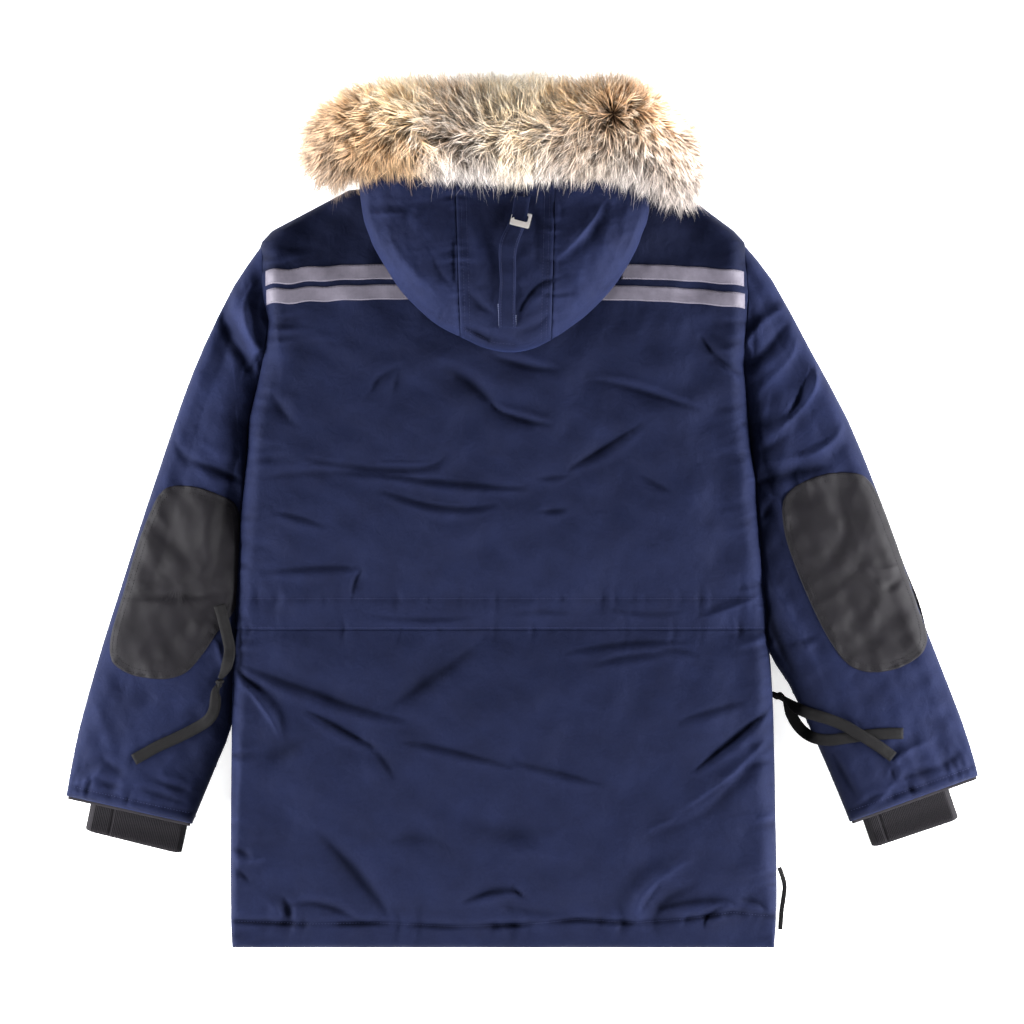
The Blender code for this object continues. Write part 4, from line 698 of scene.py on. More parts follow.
sleeve_skins = {}
shares = crowded(SLEEVE_COLUMNS)
for side in ("left", "right"):
    node = "sleeve_top_" + side
    x, y = sleeve_grid(side, node, shares)
    middle_x, middle_y = x.mean(axis=1, keepdims=True), y.mean(axis=1, keepdims=True)
    z = height_on(skin_tree(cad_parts[node]), middle_x + SLEEVE_FIT * (x - middle_x),
                  middle_y + SLEEVE_FIT * (y - middle_y))
    z[0], z[-1] = z[1], z[-2]
    z = softened(softened(z, SLEEVE_SOFT[0], 0), SLEEVE_SOFT[1], 1)
    across = np.hypot(x[:, -1] - x[:, 0], y[:, -1] - y[:, 0])[:, None]
    edge = np.minimum(shares, 1.0 - shares) * across
    inside, outside = (np.array([[np.interp(abs(end - PLATEAU / across[k, 0]), shares, z[k])]
                                 for k in range(SLEEVE_ROWS)]) for end in (0.0, 1.0))
    inner_round = np.interp(y[:, :1], SLEEVE_TURN, SLEEVE_ROUND[1:])
    z = np.where(shares < 0.5, rounded_up(z, inside, (edge + WALL) / inner_round, SLEEVE_BED),
                 rounded_up(z, outside, (edge + WALL) / SLEEVE_ROUND[0], SLEEVE_BED))
    from_hem = near(x, y, SLEEVE_HEMS[side])[0]
    stitches = hem_row(side, HEM_ROW)
    gathers = ((ARMHOLES[side], 22.0, 18.0, 1.2, 24), (stitches, 13.0, 12.0, 0.8, 25),
               (hem_row(side, GATHER_ROW), 20.0, 26.0, 0.6, 26))
    folds = creases(x, y, SLEEVE_CREASES[side]) + stitched(x, y, gathers, ((stitches, 3.0, 1.8),))
    z += (folds + lumps(x, y, SLEEVE_LUMPS)) * calm(np.minimum(edge, from_hem))
    z += SLEEVE_CREST * np.sin(np.pi * shares ** CREST_LEAN)
    side_fall = 1.0 - ramp(edge, 0.0, SLEEVE_ROLL)
    z -= SLEEVE_DROP * (1.0 - np.sqrt(1.0 - side_fall ** 2))
    z = np.maximum(rolled(z, SLEEVE_BED, from_hem / HEM_ROLL), SLEEVE_BED + EDGE_LEAST)
    # painted shade beside the body, and painted light near the shoulder and faintly over the whole sleeve
    painted_light_shade = SLEEVE_PAINTED_LIGHT - BESIDE_PAINTED_SHADE * (1.0 - ramp(shares, 0.0, BESIDE_SPAN))
    painted_light_shade = painted_light_shade + SHOULDER_PAINTED_LIGHT * ramp(y, *SHOULDER_FOOT) * ramp(shares, *SHOULDER_SIDE)
    *grid, folds, painted_light_shade = turned(side, x, y, z, folds, painted_light_shade)
    upper = sewn_panel("sleeve_cloth_" + side, *grid, SLEEVE_BED, shell, "shell", node)
    paint_fold_light_and_shade(upper, folds, painted_light_shade)
    under = from_solid("sleeve_cloth_under_" + side, "sleeve_under_" + side, UNDER_VOXEL, shell, "shell")
    sleeve_skins[side] = skin_tree(upper)

# ---- cuffs ----------------------------------------------------------------------------
# A black rib-knitted cuff comes out of each sleeve, sewn inside the hem, with a side seam.
# A thin strip of dark grey facing shows between the hem and the cuff.
RIB_PITCH, RIB_RISE = 1.9, 0.35
CUFF_STEP = 0.36              # mm between points along the cuff, several to a rib
CUFFS = {
    # side: where it starts and ends along the hem, where its seam is, and how far it comes out
    # at its start and its end
    "left": (0.04, 0.81, 0.62, 36.5, 34.0),
    "right": (0.10, 0.77, 0.22, 37.0, 39.0),
}
CUFF_DEPTHS = (-0.4, -0.2, 0.0, 0.17, 0.34, 0.5, 0.66, 0.8, 0.9, 0.95, 0.985, 1.0)   # shares of that
CUFF_CORNER = (0.06, 0.03)    # how much its corners are cut back, and over what share of its width
CUFF_KNOWN = 27.0             # how far from the hem its solid still gives its height
CUFF_FIT = (0.985, 0.97)      # and how far out from its middle, along x and y
CUFF_SEAM = (1.3, 1.6)        # depth and half width
CUFF_EDGE, CUFF_LIP = 6.0, (3.4, 0.87)   # its sides' rounding; its end's fall, and where that starts
CUFF_LEAST = 0.4              # its least thickness
FACING_SPAN = (0.015, 0.985)  # along the hem
FACING_DEPTHS = (-9.0, -3.0, 0.0, 2.0, 3.2)
FACING_TOP, FACING_BED, FACING_FALL = 23.7, 22.6, 0.06


def black_rib_knit(name):
    """Plain knitting in ribs: small V-shaped loops in columns that run out of the sleeve."""
    made, tree, shader = surface(name)
    place = add(tree, "ShaderNodeTexCoord").outputs["Object"]
    loops = add(tree, "ShaderNodeTexWave", {"Vector": place, "Scale": wave_scale(1.5), "Distortion": 1.5,
                                            "Detail": 2.0, "Detail Scale": 6.0}, bands_direction="Y")
    fuzz = add(tree, "ShaderNodeTexNoise", {"Vector": place, "Scale": 900.0, "Detail": 3.0})
    shade = add(tree, "ShaderNodeMix", {"Factor": fuzz.outputs["Fac"], "A": linear("#0b0a0c"),
                                        "B": linear("#151317")}, data_type="RGBA")
    height = add(tree, "ShaderNodeMath", {0: loops.outputs["Fac"], 1: fuzz.outputs["Fac"]}, operation="ADD")
    bump = add(tree, "ShaderNodeBump", {"Height": height.outputs[0], "Strength": 0.5, "Distance": 0.0004})
    finished(tree, shader, shade.outputs["Result"], bump, roughness=0.85, gloss=0.1)
    return made


def plain_cloth(name, colour, roughness, thread=0.7, gloss=0.2, strength=0.3):
    """A tightly woven cloth of one colour, with its weave as fine relief."""
    made, tree, shader = surface(name)
    place = add(tree, "ShaderNodeTexCoord").outputs["Object"]
    weave = plain_weave(tree, place, thread)
    wear = add(tree, "ShaderNodeTexNoise", {"Vector": place, "Scale": 60.0, "Detail": 6.0, "Roughness": 0.7})
    shade = add(tree, "ShaderNodeMix", {"Factor": wear.outputs["Fac"], "A": linear(colour),
                                        "B": linear("#606060")}, data_type="RGBA", blend_type="SOFT_LIGHT")
    bump = add(tree, "ShaderNodeBump", {"Height": weave, "Strength": strength, "Distance": 0.0003})
    finished(tree, shader, shade.outputs["Result"], bump, roughness, gloss)
    return made


rib_knit = black_rib_knit("black_rib_knit")
facing_cloth = plain_cloth("dark_grey_facing_cloth", "#262428", 0.8, gloss=0.08)
for side in ("left", "right"):
    start, end, seam, out_start, out_end = CUFFS[side]
    inner, outer = np.array(SLEEVE_HEMS[side])
    hem = outer - inner
    hem_length = np.hypot(*hem)
    down = np.array((hem[1], -hem[0])) / hem_length
    down = -down if down[1] > 0.0 else down
    across = np.linspace(start, end, int((end - start) * hem_length / CUFF_STEP))
    share = (across - start) / (end - start)
    cut, cut_over = CUFF_CORNER
    corner = 1.0 - cut * (np.exp(-share / cut_over) + np.exp(-(1.0 - share) / cut_over))
    reach = (out_start + (out_end - out_start) * share) * corner
    depth = np.array(CUFF_DEPTHS)[:, None] * reach
    cuff_x = inner[0] + hem[0] * across + down[0] * depth
    cuff_y = inner[1] + hem[1] * across + down[1] * depth
    solid = skin_tree(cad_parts["rib_cuff_" + side])
    centre_x, centre_y = cuff_x.mean(), cuff_y.mean()
    inside = np.minimum(depth, CUFF_KNOWN) - depth
    safe_x = centre_x + CUFF_FIT[0] * (cuff_x + down[0] * inside - centre_x)
    safe_y = centre_y + CUFF_FIT[1] * (cuff_y + down[1] * inside - centre_y)
    top = softened(height_on(solid, safe_x, safe_y, beyond=18.0), 9.0, 1)
    low = height_on(solid, safe_x, safe_y, beyond=4.0, below=True)
    measure = (across - start) * hem_length
    ribs = np.cos(2.0 * np.pi * measure / RIB_PITCH)
    top = top + RIB_RISE * np.sign(ribs) * abs(ribs) ** 0.7
    top -= CUFF_SEAM[0] * np.exp(-((across - seam) * hem_length / CUFF_SEAM[1]) ** 2)
    fall, fall_from = CUFF_LIP
    top -= fall * ramp(depth / reach, fall_from, 1.0 - fall_from) ** 2
    edge = np.minimum(measure, measure[-1] - measure)
    top = low + CUFF_LEAST + (top - low - CUFF_LEAST) * np.sqrt(np.clip(edge / CUFF_EDGE, 0.04, 1.0))
    cuff = sewn_panel("knitted_cuff_" + side, *turned(side, cuff_x, cuff_y, top, low), rib_knit, "rib_knit",
                      "rib_cuff_" + side)
    across = np.linspace(*FACING_SPAN, 40)
    depth = np.array(FACING_DEPTHS)[:, None]
    grid = turned(side, inner[0] + hem[0] * across + down[0] * depth,
                  inner[1] + hem[1] * across + down[1] * depth,
                  FACING_TOP - FACING_FALL * np.maximum(depth, 0.0) ** 2 + 0.0 * across)
    facing = sewn_panel("hem_facing_" + side, *grid, FACING_BED, facing_cloth, "facing",
                        "cuff_facing_" + side)

# ---- elbow patches ----------------------------------------------------------------------
# Charcoal coated nylon, cut to a rounded shape with its edges turned under, and held to the
# sleeve by two rows of stitches.
PATCH_THICK, PATCH_RINGS, PATCH_POINTS = 1.3, 26, 240   # mm; rings from edge to middle; points round it
PATCH_ROWS = (3.0, 8.0)       # mm from the edge to each row of stitches
PATCH_FURROW = (0.5, 1.2)     # depth and half width of what each row pulls in
PATCH_LIP, PATCH_FOOT = (0.7, 0.35), 1.5   # width and height of its edge, and how far that sinks in
PATCH_PUCKER, PATCH_PUCKER_SIZE = 0.5, 9.0
STITCH_SPAN = (0.14, 0.86)    # where a thread shows within each stitch
PATCHES = {
    "left": (
        # x, y
        (-384.0, 29.0), (-358.0, 28.0), (-331.0, 19.0), (-314.0, 8.0), (-308.5, -18.0),
        (-309.5, -60.0), (-314.0, -103.0), (-334.0, -131.0), (-350.0, -155.0), (-367.0, -174.0),
        (-385.0, -181.5), (-405.0, -182.0), (-428.0, -178.0), (-446.0, -168.0), (-452.0, -157.0),
        (-452.0, -138.0), (-446.0, -114.0), (-437.0, -85.0), (-428.0, -53.0), (-418.0, -23.0),
        (-405.0, 8.0), (-396.0, 22.0),
    ),
    "right": (
        (308.0, 34.0), (336.0, 43.0), (365.0, 43.0), (379.0, 36.0), (390.0, 20.0),
        (404.0, -14.0), (422.0, -62.0), (436.0, -97.0), (444.0, -128.0), (443.0, -145.0),
        (433.0, -159.0), (410.0, -171.0), (382.0, -175.0), (359.0, -168.0), (341.0, -148.0),
        (322.0, -114.0), (302.0, -68.0), (288.0, -28.0), (284.0, 4.0), (290.0, 21.0),
    ),
}


def run_along(line):
    """How far each point of a line lies from its start."""
    return np.concatenate([[0.0], np.cumsum(np.linalg.norm(np.diff(line, axis=0), axis=1))])


def smooth_route(points, count, closed=False):
    """Even points along a smooth curve through a short list of points."""
    points = np.array(points, dtype=float)
    line = np.concatenate([points[-1:], points, points[:2]]) if closed else np.concatenate(
        [2 * points[:1] - points[1:2], points, 2 * points[-1:] - points[-2:-1]])
    fine = []
    t = np.linspace(0.0, 1.0, 12, endpoint=False)[:, None]
    for a, b, c, d in zip(line[:-3], line[1:-2], line[2:-1], line[3:]):
        fine.append(0.5 * (2 * b + (c - a) * t + (2 * a - 5 * b + 4 * c - d) * t ** 2
                           + (3 * b - a - 3 * c + d) * t ** 3))
    fine = np.concatenate(fine + [line[-2:-1]])
    run = run_along(fine[:, :2])
    even = np.linspace(0.0, run[-1], count, endpoint=not closed)
    return np.stack([np.interp(even, run, fine[:, k]) for k in range(points.shape[1])], axis=1)


def inset_line(line, amount):
    """A closed line moved in towards its middle by this many millimetres."""
    tangent = np.roll(line, -1, axis=0) - np.roll(line, 1, axis=0)
    tangent /= np.hypot(tangent[:, 0], tangent[:, 1])[:, None]
    inward = np.stack([-tangent[:, 1], tangent[:, 0]], axis=1)
    centre = line.mean(axis=0)
    if ((centre - line) * inward).sum() < 0.0:
        inward = -inward
    return line + inward * amount


def stitch_row(name, lines, thread, slot, pitch=3.4, thick=0.42, wide=0.55):
    """Rows of machine stitches: short threads that sink at both ends, joined as one piece."""
    points, faces = [], []
    for line in lines:
        run = run_along(line)
        for k in range(int(run[-1] / pitch)):
            a, b = (np.array([np.interp((k + end) * pitch, run, line[:, j]) for j in range(3)])
                    for end in STITCH_SPAN)
            along = (b - a) / np.linalg.norm(b - a)
            beside = np.array((-along[1], along[0], 0.0)) / max(np.hypot(along[0], along[1]), 1e-6) * wide / 2
            middle = (a + b) / 2.0 + (0.0, 0.0, thick * 0.45)
            n = len(points)
            points += [a - (0, 0, thick / 2), middle - beside, middle - (0, 0, thick), middle + beside,
                       middle + (0, 0, thick / 2), b - (0, 0, thick / 2)]
            for j in range(4):
                faces.append((n, n + 1 + (j + 1) % 4, n + 1 + j))
            for j in range(4):
                faces.append((n + 5, n + 1 + j, n + 1 + (j + 1) % 4))
    return new_piece(name, mesh_of(name, points, faces), thread, slot)


def laid(tree, line, lift=0.25):
    """A line of x, y points in millimetres, laid on a skin."""
    line = np.asarray(line, dtype=float)
    return np.column_stack([line[:, 0], line[:, 1], height_on(tree, line[:, 0], line[:, 1]) + lift])


def evenly(line, step=1.7):
    """A line of x, y points, cut into even steps."""
    line = np.asarray(line, dtype=float)
    run = run_along(line)
    even = np.linspace(0.0, run[-1], max(2, int(run[-1] / step)))
    return np.stack([np.interp(even, run, line[:, 0]), np.interp(even, run, line[:, 1])], axis=1)


patch_cloth = plain_cloth("charcoal_coated_nylon", "#100e13", 0.62, thread=1.0, gloss=0.1, strength=0.45)
patch_thread = plain_cloth("charcoal_thread", "#0e0d10", 0.85)
for side in ("left", "right"):
    outline = smooth_route(PATCHES[side], PATCH_POINTS, closed=True)
    centre = outline.mean(axis=0)
    shares = 1.0 - np.linspace(0.0, 1.0, PATCH_RINGS) ** 1.25 * 0.985
    rings = centre + (outline - centre)[None] * shares[:, None, None]
    rings = np.concatenate([outline[None], inset_line(outline, PATCH_LIP[0])[None], rings[1:]])
    skin = height_on(sleeve_skins[side], rings[:, :, 0], rings[:, :, 1])
    even = softened(np.concatenate([skin[:, -12:], skin, skin[:, :12]], axis=1), 2.0, 1)[:, 12:-12]
    skin = np.maximum(skin, even)
    lift = np.full(len(rings), PATCH_THICK)
    lift[0] = PATCH_LIP[1]
    top = skin + lift[:, None]
    for row in PATCH_ROWS:
        gone = np.hypot(*(rings - inset_line(outline, row)).transpose(2, 0, 1))
        top -= PATCH_FURROW[0] * np.exp(-(gone / PATCH_FURROW[1]) ** 2)
    # the stitches pull small gathers into its edge
    gone = np.hypot(*(rings - outline).transpose(2, 0, 1))
    small = swell(rings[:, :, 0], rings[:, :, 1], PATCH_PUCKER_SIZE, 31)
    top += PATCH_PUCKER * small * np.exp(-gone / PATCH_PUCKER_SIZE)
    points = np.concatenate([np.dstack([rings, top]).reshape(-1, 3),
                             np.column_stack([outline, skin[0] - PATCH_FOOT]),
                             [(centre[0], centre[1], top[-1].mean())]])
    here = np.arange(PATCH_POINTS)
    onward = np.roll(here, -1)
    faces = [row for k in range(len(rings) - 1)
             for row in (np.column_stack([here, onward, onward + PATCH_POINTS, here + PATCH_POINTS])
                         + k * PATCH_POINTS).tolist()]
    inmost, under_ring = (len(rings) - 1) * PATCH_POINTS, len(rings) * PATCH_POINTS
    for j, n in zip(here.tolist(), onward.tolist()):
        faces.append((n, j, under_ring + j, under_ring + n))
        faces.append((inmost + j, inmost + n, under_ring + PATCH_POINTS))
    faces.append(tuple(range(under_ring, under_ring + PATCH_POINTS)))
    mesh = mesh_of("elbow_patch", points, faces, mend=True)
    patch = new_piece("elbow_patch_cloth_" + side, mesh, patch_cloth, "patch", "elbow_patch_" + side)
    patch_skin = skin_tree(patch)
    closed = [np.concatenate([inset_line(outline, row), inset_line(outline, row)[:1]]) for row in PATCH_ROWS]
    stitches = stitch_row("patch_stitches_" + side, [laid(patch_skin, line, 0.2) for line in closed],
                          patch_thread, "patch")
    onward = np.roll(outline, -1, axis=0)

# ---- reflective tapes -------------------------------------------------------------------
# Matt grey reflective tape, two runs across each shoulder, stitched down along both edges.
TAPE_WIDTH, TAPE_THICK = 16.5, 1.2
TAPE_WAVES = {"left": 1.8, "right": 0.72}   # how far a tape's edges wave at the armhole
TAPE_WAVELENGTH, TAPE_FADE = 38.0, 60.0   # and how soon that dies out
TAPE_PROFILE = (1.0, 0.97, 0.85, 0.6, 0.4, 0.15, 0.03, 0.0)   # shares of its width
TAPE_STEPS, TAPE_LIP, TAPE_FOOT = 70, 0.3, 0.8   # points along it; its edge's height, and depth below
TAPE_ROWS = (0.1, 0.9)        # shares of its width at which its stitches run
TAPES = (
    # name, x at hood, x at armhole, y at hood, y at armhole
    ("tape_left_upper", -140.0, -281.5, 271.5, 264.5),
    ("tape_left_lower", -120.0, -280.5, 249.5, 243.5),
    ("tape_right_upper", 108.0, 242.5, 271.5, 264.0),
    ("tape_right_lower", 83.0, 243.5, 248.5, 239.5),
)
reflective = plain_cloth("matt_grey_reflective_tape", "#5d5964", 0.6, thread=1.6, gloss=0.18, strength=0.25)
tape_thread = plain_cloth("grey_thread", "#5c5962", 0.8)
tape_rows = []
for name, x_hood, x_arm, y_hood, y_arm in TAPES:
    ends = sorted(((x_hood, y_hood), (x_arm, y_arm)))
    along = np.linspace(0.0, 1.0, TAPE_STEPS)
    across = np.array(TAPE_PROFILE)[:, None] * TAPE_WIDTH
    x = ends[0][0] + (ends[1][0] - ends[0][0]) * along + 0.0 * across
    from_hood = abs(x[0] - x_hood) / abs(x_arm - x_hood)
    upper_edge = y_hood + (y_arm - y_hood) * from_hood ** 2
    from_arm = abs(x[0] - x_arm)
    wave = TAPE_WAVES[name.split("_")[1]]
    upper_edge += wave * np.sin(2.0 * np.pi * from_arm / TAPE_WAVELENGTH) * np.exp(-from_arm / TAPE_FADE)
    y = upper_edge - across
    cloth = height_on(back_skin, x, y)
    skin = np.maximum(softened(cloth, 2.5, 1), cloth)
    lift = np.full(len(across), TAPE_THICK)
    lift[0] = lift[-1] = TAPE_LIP
    top = skin + lift[:, None]
    tape = sewn_panel(name + "_cloth", x, y, top, skin - TAPE_FOOT, reflective, "reflective_tape", name)
    for share in TAPE_ROWS:
        row = np.column_stack([x[0], upper_edge - share * TAPE_WIDTH])
        tape_rows.append(laid(back_skin, evenly(row), TAPE_THICK + 0.15))
stitch_row("tape_stitches", tape_rows, tape_thread, "reflective_tape")

# ---- hood -------------------------------------------------------------------------------
# Three down-filled panels folded flat onto the back, sewn with double rows of stitches, with
# the lining folded in beneath. The collar is hidden under it.
HOOD_STEP = 2.3               # mm between the points of the cloth
HOOD_RUN, HOOD_LONG = 1.42, 205.0   # mm for each point of its outline, and its length: cut into such steps
HOOD_POINTS = 400             # along its outline
HOOD_FIT = (0.965, 0.955, 0.985)   # its solids' height is taken this far out: x, and y below and above
HOOD_LUMPS = ((1.0, 60.0, 31, 1.0), (0.5, 24.0, 32, 1.0), (0.15, 10.0, 33, 1.0))
HOOD_FOLD_GAIN = 1.2
HOOD_CALM, HOOD_EDGE = 9.0, 0.6   # its folds die out within this of its outline; its thickness there
HOOD_SOFT, HOOD_BED_SOFT = 1.6, 2.0   # points over which its solids' facets are smoothed, above and below
HOOD_PAINTED_LIGHT = {"left": 0.5, "centre": 0.12, "right": 0.5}   # how much paler than the body each panel is painted, for the light on it
SEAM_ALLOWANCE = (1.6, 6.0)   # height and half width of the turned edges beneath a seam
HOOD_ROLL = 7.0               # width over which its outline rounds off
HOOD_END = 387.0              # y at which it stops beneath the fur
HOOD_OUTLINE = (
    # x, y, from the fur on the left, round the crown, to the fur on the right
    (-180.0, 374.0), (-178.0, 350.0), (-176.0, 334.0), (-173.0, 318.0), (-168.0, 304.0),
    (-162.0, 289.0), (-148.0, 265.0), (-132.0, 241.0), (-109.0, 217.5), (-90.5, 203.0),
    (-66.0, 190.5), (-41.0, 179.5), (-15.0, 174.8), (10.5, 178.5), (35.0, 190.5),
    (55.0, 204.0), (72.0, 217.5), (95.0, 241.0), (112.0, 265.0), (125.0, 289.0),
    (130.5, 304.0), (136.0, 318.0), (138.5, 334.0), (137.0, 350.0), (136.0, 374.0),
)
HOOD_SEAMS = (
    # x at the crown and at the fur, and the side on which its rows of stitches run
    (-67.5, -74.0, 1.0),
    (31.0, 36.0, -1.0),
)
HOOD_CREST = 9.0              # how far its filling stands up along the middle
CREST_PLACE = (-18.0, 145.0)  # x of that middle, and how far from it the crest ends
HOOD_ROWS = (5.5, 11.0)       # mm from each seam to the rows of stitches beside it
HOOD_RIM = (
    # x, y of the seam inside the outline
    (-145.0, 259.0), (-132.0, 243.0), (-114.0, 227.0), (-91.0, 211.5), (-66.0, 200.5),
    (-44.0, 190.5), (-30.0, 184.5), (-8.0, 182.5),
)
HOOD_CREASES = (
    # x, y at start, middle and end, half width, rise
    (85.0, 334.0, 68.0, 308.0, 37.0, 275.0, 5.0, 4.2),
    (38.0, 254.0, 16.0, 244.0, -3.0, 219.0, 3.6, -3.6),
    (-31.0, 181.0, -46.0, 194.0, -64.0, 202.0, 2.8, -3.2),
    (130.0, 306.0, 112.0, 268.0, 84.0, 238.0, 4.0, -3.4),
    (138.0, 320.0, 122.0, 280.0, 98.0, 250.0, 6.0, 3.0),
    (60.0, 250.0, 62.0, 270.0, 70.0, 286.0, 9.0, 2.4),
    (-166.0, 324.0, -148.0, 325.0, -128.0, 326.0, 4.0, 2.0),
    (-100.0, 300.0, -112.0, 320.0, -110.0, 340.0, 14.0, 2.6),
    (-140.0, 290.0, -120.0, 262.0, -92.0, 236.0, 9.0, 2.4),
    (-80.0, 250.0, -92.0, 262.0, -98.0, 280.0, 6.0, -2.6),
    (-60.0, 240.0, -48.0, 226.0, -34.0, 218.0, 5.0, -2.6),
    (-52.0, 300.0, -46.0, 270.0, -44.0, 240.0, 9.0, 2.0),
    (10.0, 330.0, 16.0, 300.0, 14.0, 270.0, 8.0, -2.0),
    (-10.0, 196.0, 10.0, 200.0, 26.0, 212.0, 5.0, -2.6),
    (-60.0, 200.0, -40.0, 190.0, -12.0, 186.0, 4.0, -2.4),
)


def hood_rise(x, y):
    """The hood's folds, with what its rim and its two seams do to it."""
    high, wide = SEAM_ALLOWANCE
    gathers, furrows = [(HOOD_RIM, 9.0, 9.0, 0.7, 36)], [(HOOD_RIM, 2.2, 1.6)]
    for index, (x_crown, x_fur, hand) in enumerate(HOOD_SEAMS):
        seam = np.array(((x_crown, hood_outline[:, 1].min()), (x_fur, HOOD_END)))
        gathers.append((seam, 10.0, 12.0, 0.9, 34 + index))
        furrows += [(seam, wide, -high), (seam, 1.5, 1.3)]
        furrows += [(seam + (inset * hand, 0.0), 1.8, 0.6) for inset in HOOD_ROWS]
    return HOOD_FOLD_GAIN * creases(x, y, HOOD_CREASES) + stitched(x, y, gathers, furrows)


def quilted_panel(name, x, y, top, bottom, finish, slot, *replaced):
    """A padded panel over a fine grid whose underside follows what it lies on."""
    faces, around = grid_faces(*x.shape)
    count = x.size
    faces = faces.tolist() + (faces[:, ::-1] + count).tolist()
    faces += [(b, a, count + a, count + b) for a, b in zip(around, around[1:] + around[:1])]
    points = np.concatenate([np.stack([x, y, z], axis=-1).reshape(-1, 3) for z in (top, bottom)])
    mesh = mesh_of(name, points, faces)
    work = bmesh.new()
    work.from_mesh(mesh)
    inside = set(range(count, 2 * count)) - {count + k for k in around}
    hidden = [v for v in work.verts if v.index in inside]
    between = [e for e in work.edges if e.verts[0].index in inside and e.verts[1].index in inside]
    bmesh.ops.dissolve_limit(work, angle_limit=0.06, verts=hidden, edges=between)
    work.to_mesh(mesh)
    work.free()
    return new_piece(name, mesh, finish, slot, *replaced)


hood_outline = smooth_route(HOOD_OUTLINE, HOOD_POINTS)
hood_solids = skin_tree(*(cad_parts["hood_" + part] for part in HOOD_PAINTED_LIGHT))
number = np.arange(float(HOOD_POINTS))
seam_left, seam_right = (np.interp(row[0], hood_outline[:, 0], number) for row in HOOD_SEAMS)
hood_parts = (
    # name, first and last point of the outline, x at the fur, and the sides with a seam
    ("left", 0.0, seam_left, HOOD_OUTLINE[0][0], HOOD_SEAMS[0][1], (0.0, -1.0)),
    ("centre", seam_left, seam_right, HOOD_SEAMS[0][1], HOOD_SEAMS[1][1], (1.0, -1.0)),
    ("right", seam_right, HOOD_POINTS - 1.0, HOOD_SEAMS[1][1], HOOD_OUTLINE[-1][0], (1.0, 0.0)),
)
hood_middle = np.array((-20.0, 300.0))
hood_panels = []
for part, first, last, fur_left, fur_right, gaps in hood_parts:
    along = np.linspace(first, last, int((last - first) * HOOD_RUN / HOOD_STEP))
    rim_x, rim_y = (np.interp(along, number, hood_outline[:, k]) for k in (0, 1))
    share = np.linspace(0.0, 1.0, len(along))
    up = np.linspace(0.0, 1.0, int(HOOD_LONG / HOOD_STEP))[:, None] ** 1.12
    hood_x = rim_x + (fur_left + (fur_right - fur_left) * share - rim_x) * up
    hood_y = rim_y + (HOOD_END - rim_y) * up
    hood_x = hood_x + SEAM_PINCH / 2 * (gaps[0] * (share == 0.0) + gaps[1] * (share == 1.0))
    safe_x = hood_middle[0] + (hood_x - hood_middle[0]) * HOOD_FIT[0]
    safe_y = hood_middle[1] + (hood_y - hood_middle[1]) * np.where(hood_y < hood_middle[1], *HOOD_FIT[1:])
    top = height_on(hood_solids, safe_x, safe_y, beyond=100.0)
    top = softened(softened(top, HOOD_SOFT, 0), HOOD_SOFT, 1)
    bottom = height_on(hood_solids, safe_x, safe_y, beyond=90.0, below=True)
    bottom = softened(bottom, HOOD_BED_SOFT, 0)
    inside = near(hood_x, hood_y, hood_outline[::4])[0]
    folds = hood_rise(hood_x, hood_y)
    from_crest = ramp(abs(hood_x - CREST_PLACE[0]), 0.0, CREST_PLACE[1])
    filling = HOOD_CREST * (1.0 - from_crest ** 2) + lumps(hood_x, hood_y, HOOD_LUMPS)
    top += (folds + filling) * ramp(inside, 0.0, HOOD_CALM)
    top = bottom + HOOD_EDGE + (top - bottom - HOOD_EDGE) * crown(inside / HOOD_ROLL)
    panel = quilted_panel("hood_cloth_" + part, hood_x, hood_y, top, bottom, shell, "shell", "hood_" + part)
    # painted shade in the hood's folds, painted highlight on its ridges, and painted light, strongest on the
    # side panels
    paint_fold_light_and_shade(panel, folds, HOOD_PAINTED_LIGHT[part])
    hood_panels.append(panel)
hood_skin = skin_tree(*hood_panels)
shell_thread = plain_cloth("navy_thread", "#20264a", 0.6)
hood_lines = [laid(hood_skin, evenly(HOOD_RIM), 0.1)]
for x_crown, x_fur, hand in HOOD_SEAMS:
    for inset in HOOD_ROWS:
        foot = np.interp(x_crown + inset * hand, hood_outline[:, 0], hood_outline[:, 1])
        line = ((x_crown + inset * hand, foot + 3.0), (x_fur + inset * hand, HOOD_END - 1.0))
        hood_lines.append(laid(hood_skin, evenly(line), 0.1))
stitch_row("hood_stitches", hood_lines, shell_thread, "shell")
body_lines = [laid(back_skin, evenly(((x0, at), (x1, at))), 0.1)
              for x0, x1, at in ((-312.0, 264.0, WAIST_STITCH), (-312.5, 265.0, WAIST_SEAM + 2.2))]
body_lines.append(laid(back_skin, evenly(HEM_LINE)[2:-2], 0.1))
stitch_row("body_stitches", body_lines, shell_thread, "shell")
for side in ("left", "right"):
    line = np.array(hem_row(side, HEM_ROW))
    line = line[0] + (line[1] - line[0]) * np.array((0.03, 0.97))[:, None]
    stitch_row("sleeve_stitches_" + side, [laid(sleeve_skins[side], evenly(line), 0.1)], shell_thread,
               "shell")
for name, node in (("hood_lining_folds", "hood_under"), ("collar_cloth", "collar")):
    fold = from_solid(name, node, 7.0 * MM, shell, "shell")

